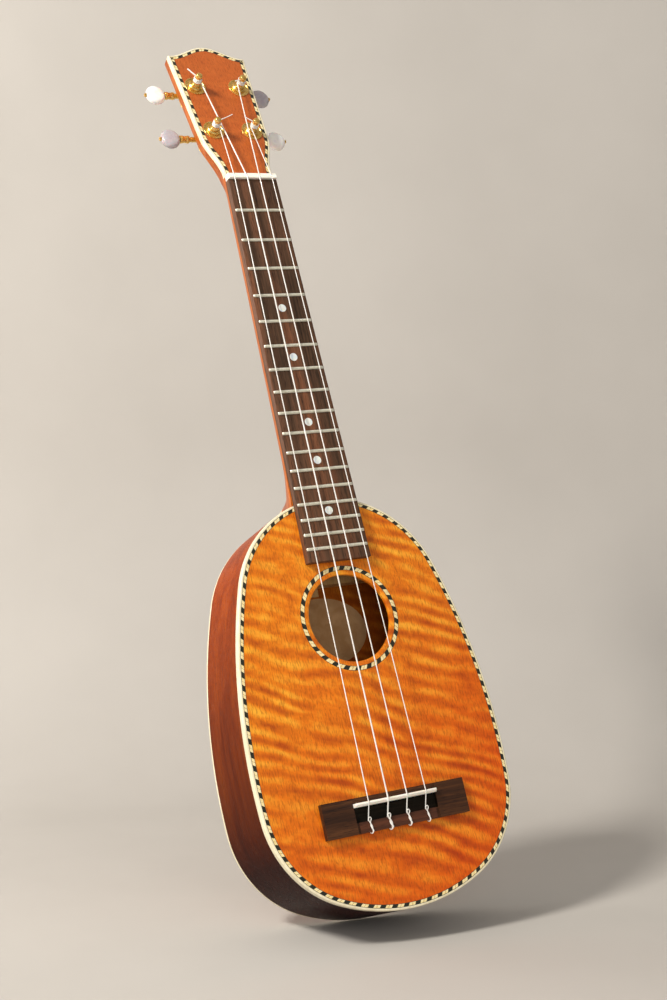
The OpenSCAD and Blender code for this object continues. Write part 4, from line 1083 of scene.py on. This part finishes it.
def tuner_button(mats, t):
    """Oval pearloid button with softly rounded faces, and its end screw."""
    # The lower left and upper right buttons take the greyer copy of the pearloid: painted shade.
    material = mats["shaded_button"] if t.index % 2 == 0 else mats["white_button"]
    shape = Shape()
    loops = []
    rows = 22
    for k in range(rows + 1):
        a = math.pi * (k / rows - 0.5)
        size = max(0.01, math.cos(a)) ** 0.5
        h = BUTTON_T / 2 * math.copysign(abs(math.sin(a)) ** 0.85, a)
        loops.append([
            t.shaft(h, BUTTON_ACROSS * size * math.sin(b), t.reach + BUTTON_RADIUS * size * math.cos(b))
            for b in (2 * math.pi * j / 48 for j in range(48))
        ])
    shape.loft(loops)
    piece("knob_button_" + t.name, shape, [material], body="knob_" + t.name,
          stands_for=["button_" + t.name], sharp=60)
    end = t.reach + BUTTON_RADIUS - 0.12
    screw = slotted_head(lambda a, b, h: t.shaft(a, b, end + h), 1.25, 1.1, 0.4, 0.3)
    piece("knob_screw_" + t.name, screw, [mats["gold"]], body="knob_" + t.name,
          stands_for=["button_screw_" + t.name])


# ---- CAD nodes shown as they are ----

def dress(mats):
    """Gives the nodes inside the body and behind the headstock their finish."""
    for node, key, slot in (
        ("neck_block", "plain", "plain_wood"), ("tail_block", "plain", "plain_wood"), ("linings", "plain", "plain_wood"),
        ("soundboard_braces", "plain", "plain_wood"), ("bridge_plate", "plain", "plain_wood"),
        ("back_braces", "plain", "plain_wood"), ("back_strip", "plain", "plain_wood"), ("label", "paper", "paper"),
    ):
        finish(node, mats[key])
    for t in TUNERS:
        finish("wheel_" + t.name, mats["gold"])
        finish("wheel_screw_" + t.name, mats["gold"])


def finish(node, material):
    shown = frame["nodes"][node]
    shown.data.materials.clear()
    shown.data.materials.append(material)


# ---- Camera, light and backdrop ----

def camera_axes():
    turn, rise, roll = (math.radians(v) for v in (CAMERA_TURN, CAMERA_RISE, CAMERA_ROLL))
    forward = Vector((math.sin(turn) * math.cos(rise), math.cos(turn) * math.cos(rise), math.sin(rise)))
    level = forward.cross(Vector((0, 0, 1))).normalized()
    upright = level.cross(forward)
    right = math.cos(roll) * level + math.sin(roll) * upright
    return right, right.cross(forward), forward


def add_camera():
    right, up, forward = camera_axes()
    data = bpy.data.cameras.new("camera")
    data.lens, data.sensor_width = CAMERA_LENS, 36.0
    data.clip_start, data.clip_end = 0.01, 20
    camera = bpy.data.objects.new("camera", data)
    place = Matrix((right, up, -forward)).transposed().to_4x4()
    place.translation = (Vector(CAMERA_AIM) - forward * CAMERA_DISTANCE) * MM
    camera.matrix_world = place
    bpy.context.scene.collection.objects.link(camera)
    bpy.context.scene.camera = camera


def backdrop_material():
    """Pale paint, clear from behind so that the sheet never hides the object."""
    n = Nodes("backdrop_paint")
    mottle = n.noise((300, 300, 300), 4.0, 0.6)
    paint = n.add("BsdfPrincipled", {
        "Base Color": n.ramp(mottle, [(0.3, "#b6b1aa"), (0.7, "#beb9b2")]), "Roughness": 0.85})
    behind = n.add("NewGeometry").outputs["Backfacing"]
    clear = n.add("BsdfTransparent")
    both = n.add("MixShader", {0: behind, 1: paint.outputs[0], 2: clear.outputs[0]})
    n.add("OutputMaterial", {"Surface": both.outputs[0]})
    return n.material


def add_stage():
    """Floor that curves up into a wall, square to the camera's up direction, and the lights."""
    right, up, forward = camera_axes()
    lowest = min(v.co.dot(up) for node in ("top_binding", "back_binding", "side_left", "side_right")
                 for v in frame["nodes"][node].data.vertices)
    away = (forward - up * forward.dot(up)).normalized()
    middle = (cad_low + cad_high) / 2
    foot = middle + up * (lowest - middle.dot(up))
    curve = [(-1.6, 0.0), (0.25, 0.0)]
    curve += [(0.25 + 0.3 * math.sin(a), 0.3 - 0.3 * math.cos(a)) for a in np.linspace(0.1, math.pi / 2, 16)]
    curve += [(0.55, 1.9)]
    points = [foot + right * s + away * a + up * h for a, h in curve for s in (-2.2, 2.2)]
    faces = [(2 * k, 2 * k + 1, 2 * k + 3, 2 * k + 2) for k in range(len(curve) - 1)]
    mesh = bpy.data.meshes.new("sheet")
    mesh.from_pydata(points, [], faces)
    mesh.materials.append(backdrop_material())
    mesh.shade_smooth()
    sheet = bpy.data.objects.new("sheet", mesh)
    bpy.context.scene.collection.objects.link(sheet)

    def softbox(name, place, size, power, colour, glossy=True):
        light = bpy.data.lights.new(name, "AREA")
        light.shape, light.size, light.energy, light.color = "DISK", size, power, colour
        lamp = bpy.data.objects.new(name, light)
        where = middle + right * place[0] + up * place[1] - away * place[2]
        lamp.location = where
        lamp.rotation_mode = "QUATERNION"
        lamp.rotation_quaternion = (middle - where).to_track_quat("-Z", "Y")
        lamp.visible_camera = False
        lamp.visible_glossy = glossy
        bpy.context.scene.collection.objects.link(lamp)

    softbox("key", (-0.95, 1.0, 0.9), 0.35, 31.0, (1.0, 0.96, 0.90))
    softbox("fill", (0.3, 0.2, 1.5), 1.0, 7.0, (1.0, 0.97, 0.95), False)
    softbox("rim", (-1.0, 0.2, -0.2), 0.5, 3.0, (1.0, 0.97, 0.93))
    world = bpy.data.worlds.new("room")
    world.use_nodes = True
    tree = world.node_tree
    ray = tree.nodes.new("ShaderNodeTexCoord")
    facing = tree.nodes.new("ShaderNodeVectorMath")
    facing.operation = "DOT_PRODUCT"
    facing.inputs[1].default_value = (up - right).normalized()
    shade = tree.nodes.new("ShaderNodeMapRange")
    for key, value in ((1, -0.8), (2, 0.9), (3, 0.2), (4, 0.55)):
        shade.inputs[key].default_value = value
    tree.links.new(ray.outputs["Generated"], facing.inputs[0])
    tree.links.new(facing.outputs["Value"], shade.inputs[0])
    tree.links.new(shade.outputs[0], tree.nodes["Background"].inputs["Strength"])
    tree.nodes["Background"].inputs["Color"].default_value = (0.82, 0.80, 0.78, 1)
    bpy.context.scene.world = world
    bpy.context.scene.view_settings.view_transform = "Standard"


def main():
    mats = make_materials()
    edge, rim = body_edge(), head_edge()
    soundboard(mats, edge)
    rope_inlay("body_rope", mats, edge, on_face, BINDING_W, ROPE_W, ["top_purfling"])
    rope_inlay("rosette_rope", mats, circle_edge(ROSETTE_R, HOLE_Z), on_face, 0.0, ROSETTE_W, ["rosette"])
    binding("front_binding", mats, edge, on_face, TOP_BINDING_H, ["top_binding"])
    binding("rear_binding", mats, edge, on_back, BACK_BINDING_H, ["back_binding"])
    sides(mats, edge)
    back_plate(mats, edge)
    neck(mats)
    heel_cap(mats)
    fretboard(mats)
    headplate(mats, rim)
    rope_inlay("headstock_rope", mats, rim, on_head, BINDING_W, ROPE_W, ["head_purfling"])
    binding("headstock_binding", mats, rim, on_head, HEAD_BINDING_H, ["head_binding"], 0.6)
    nut(mats)
    saddle(mats)
    bridge(mats)
    strings(mats)
    tuner_fixed(mats)
    for t in TUNERS:
        string_post(mats, t)
        winding(mats, t)
        worm_gear(mats, t)
        tuner_button(mats, t)
    dress(mats)
    add_camera()
    add_stage()


main()
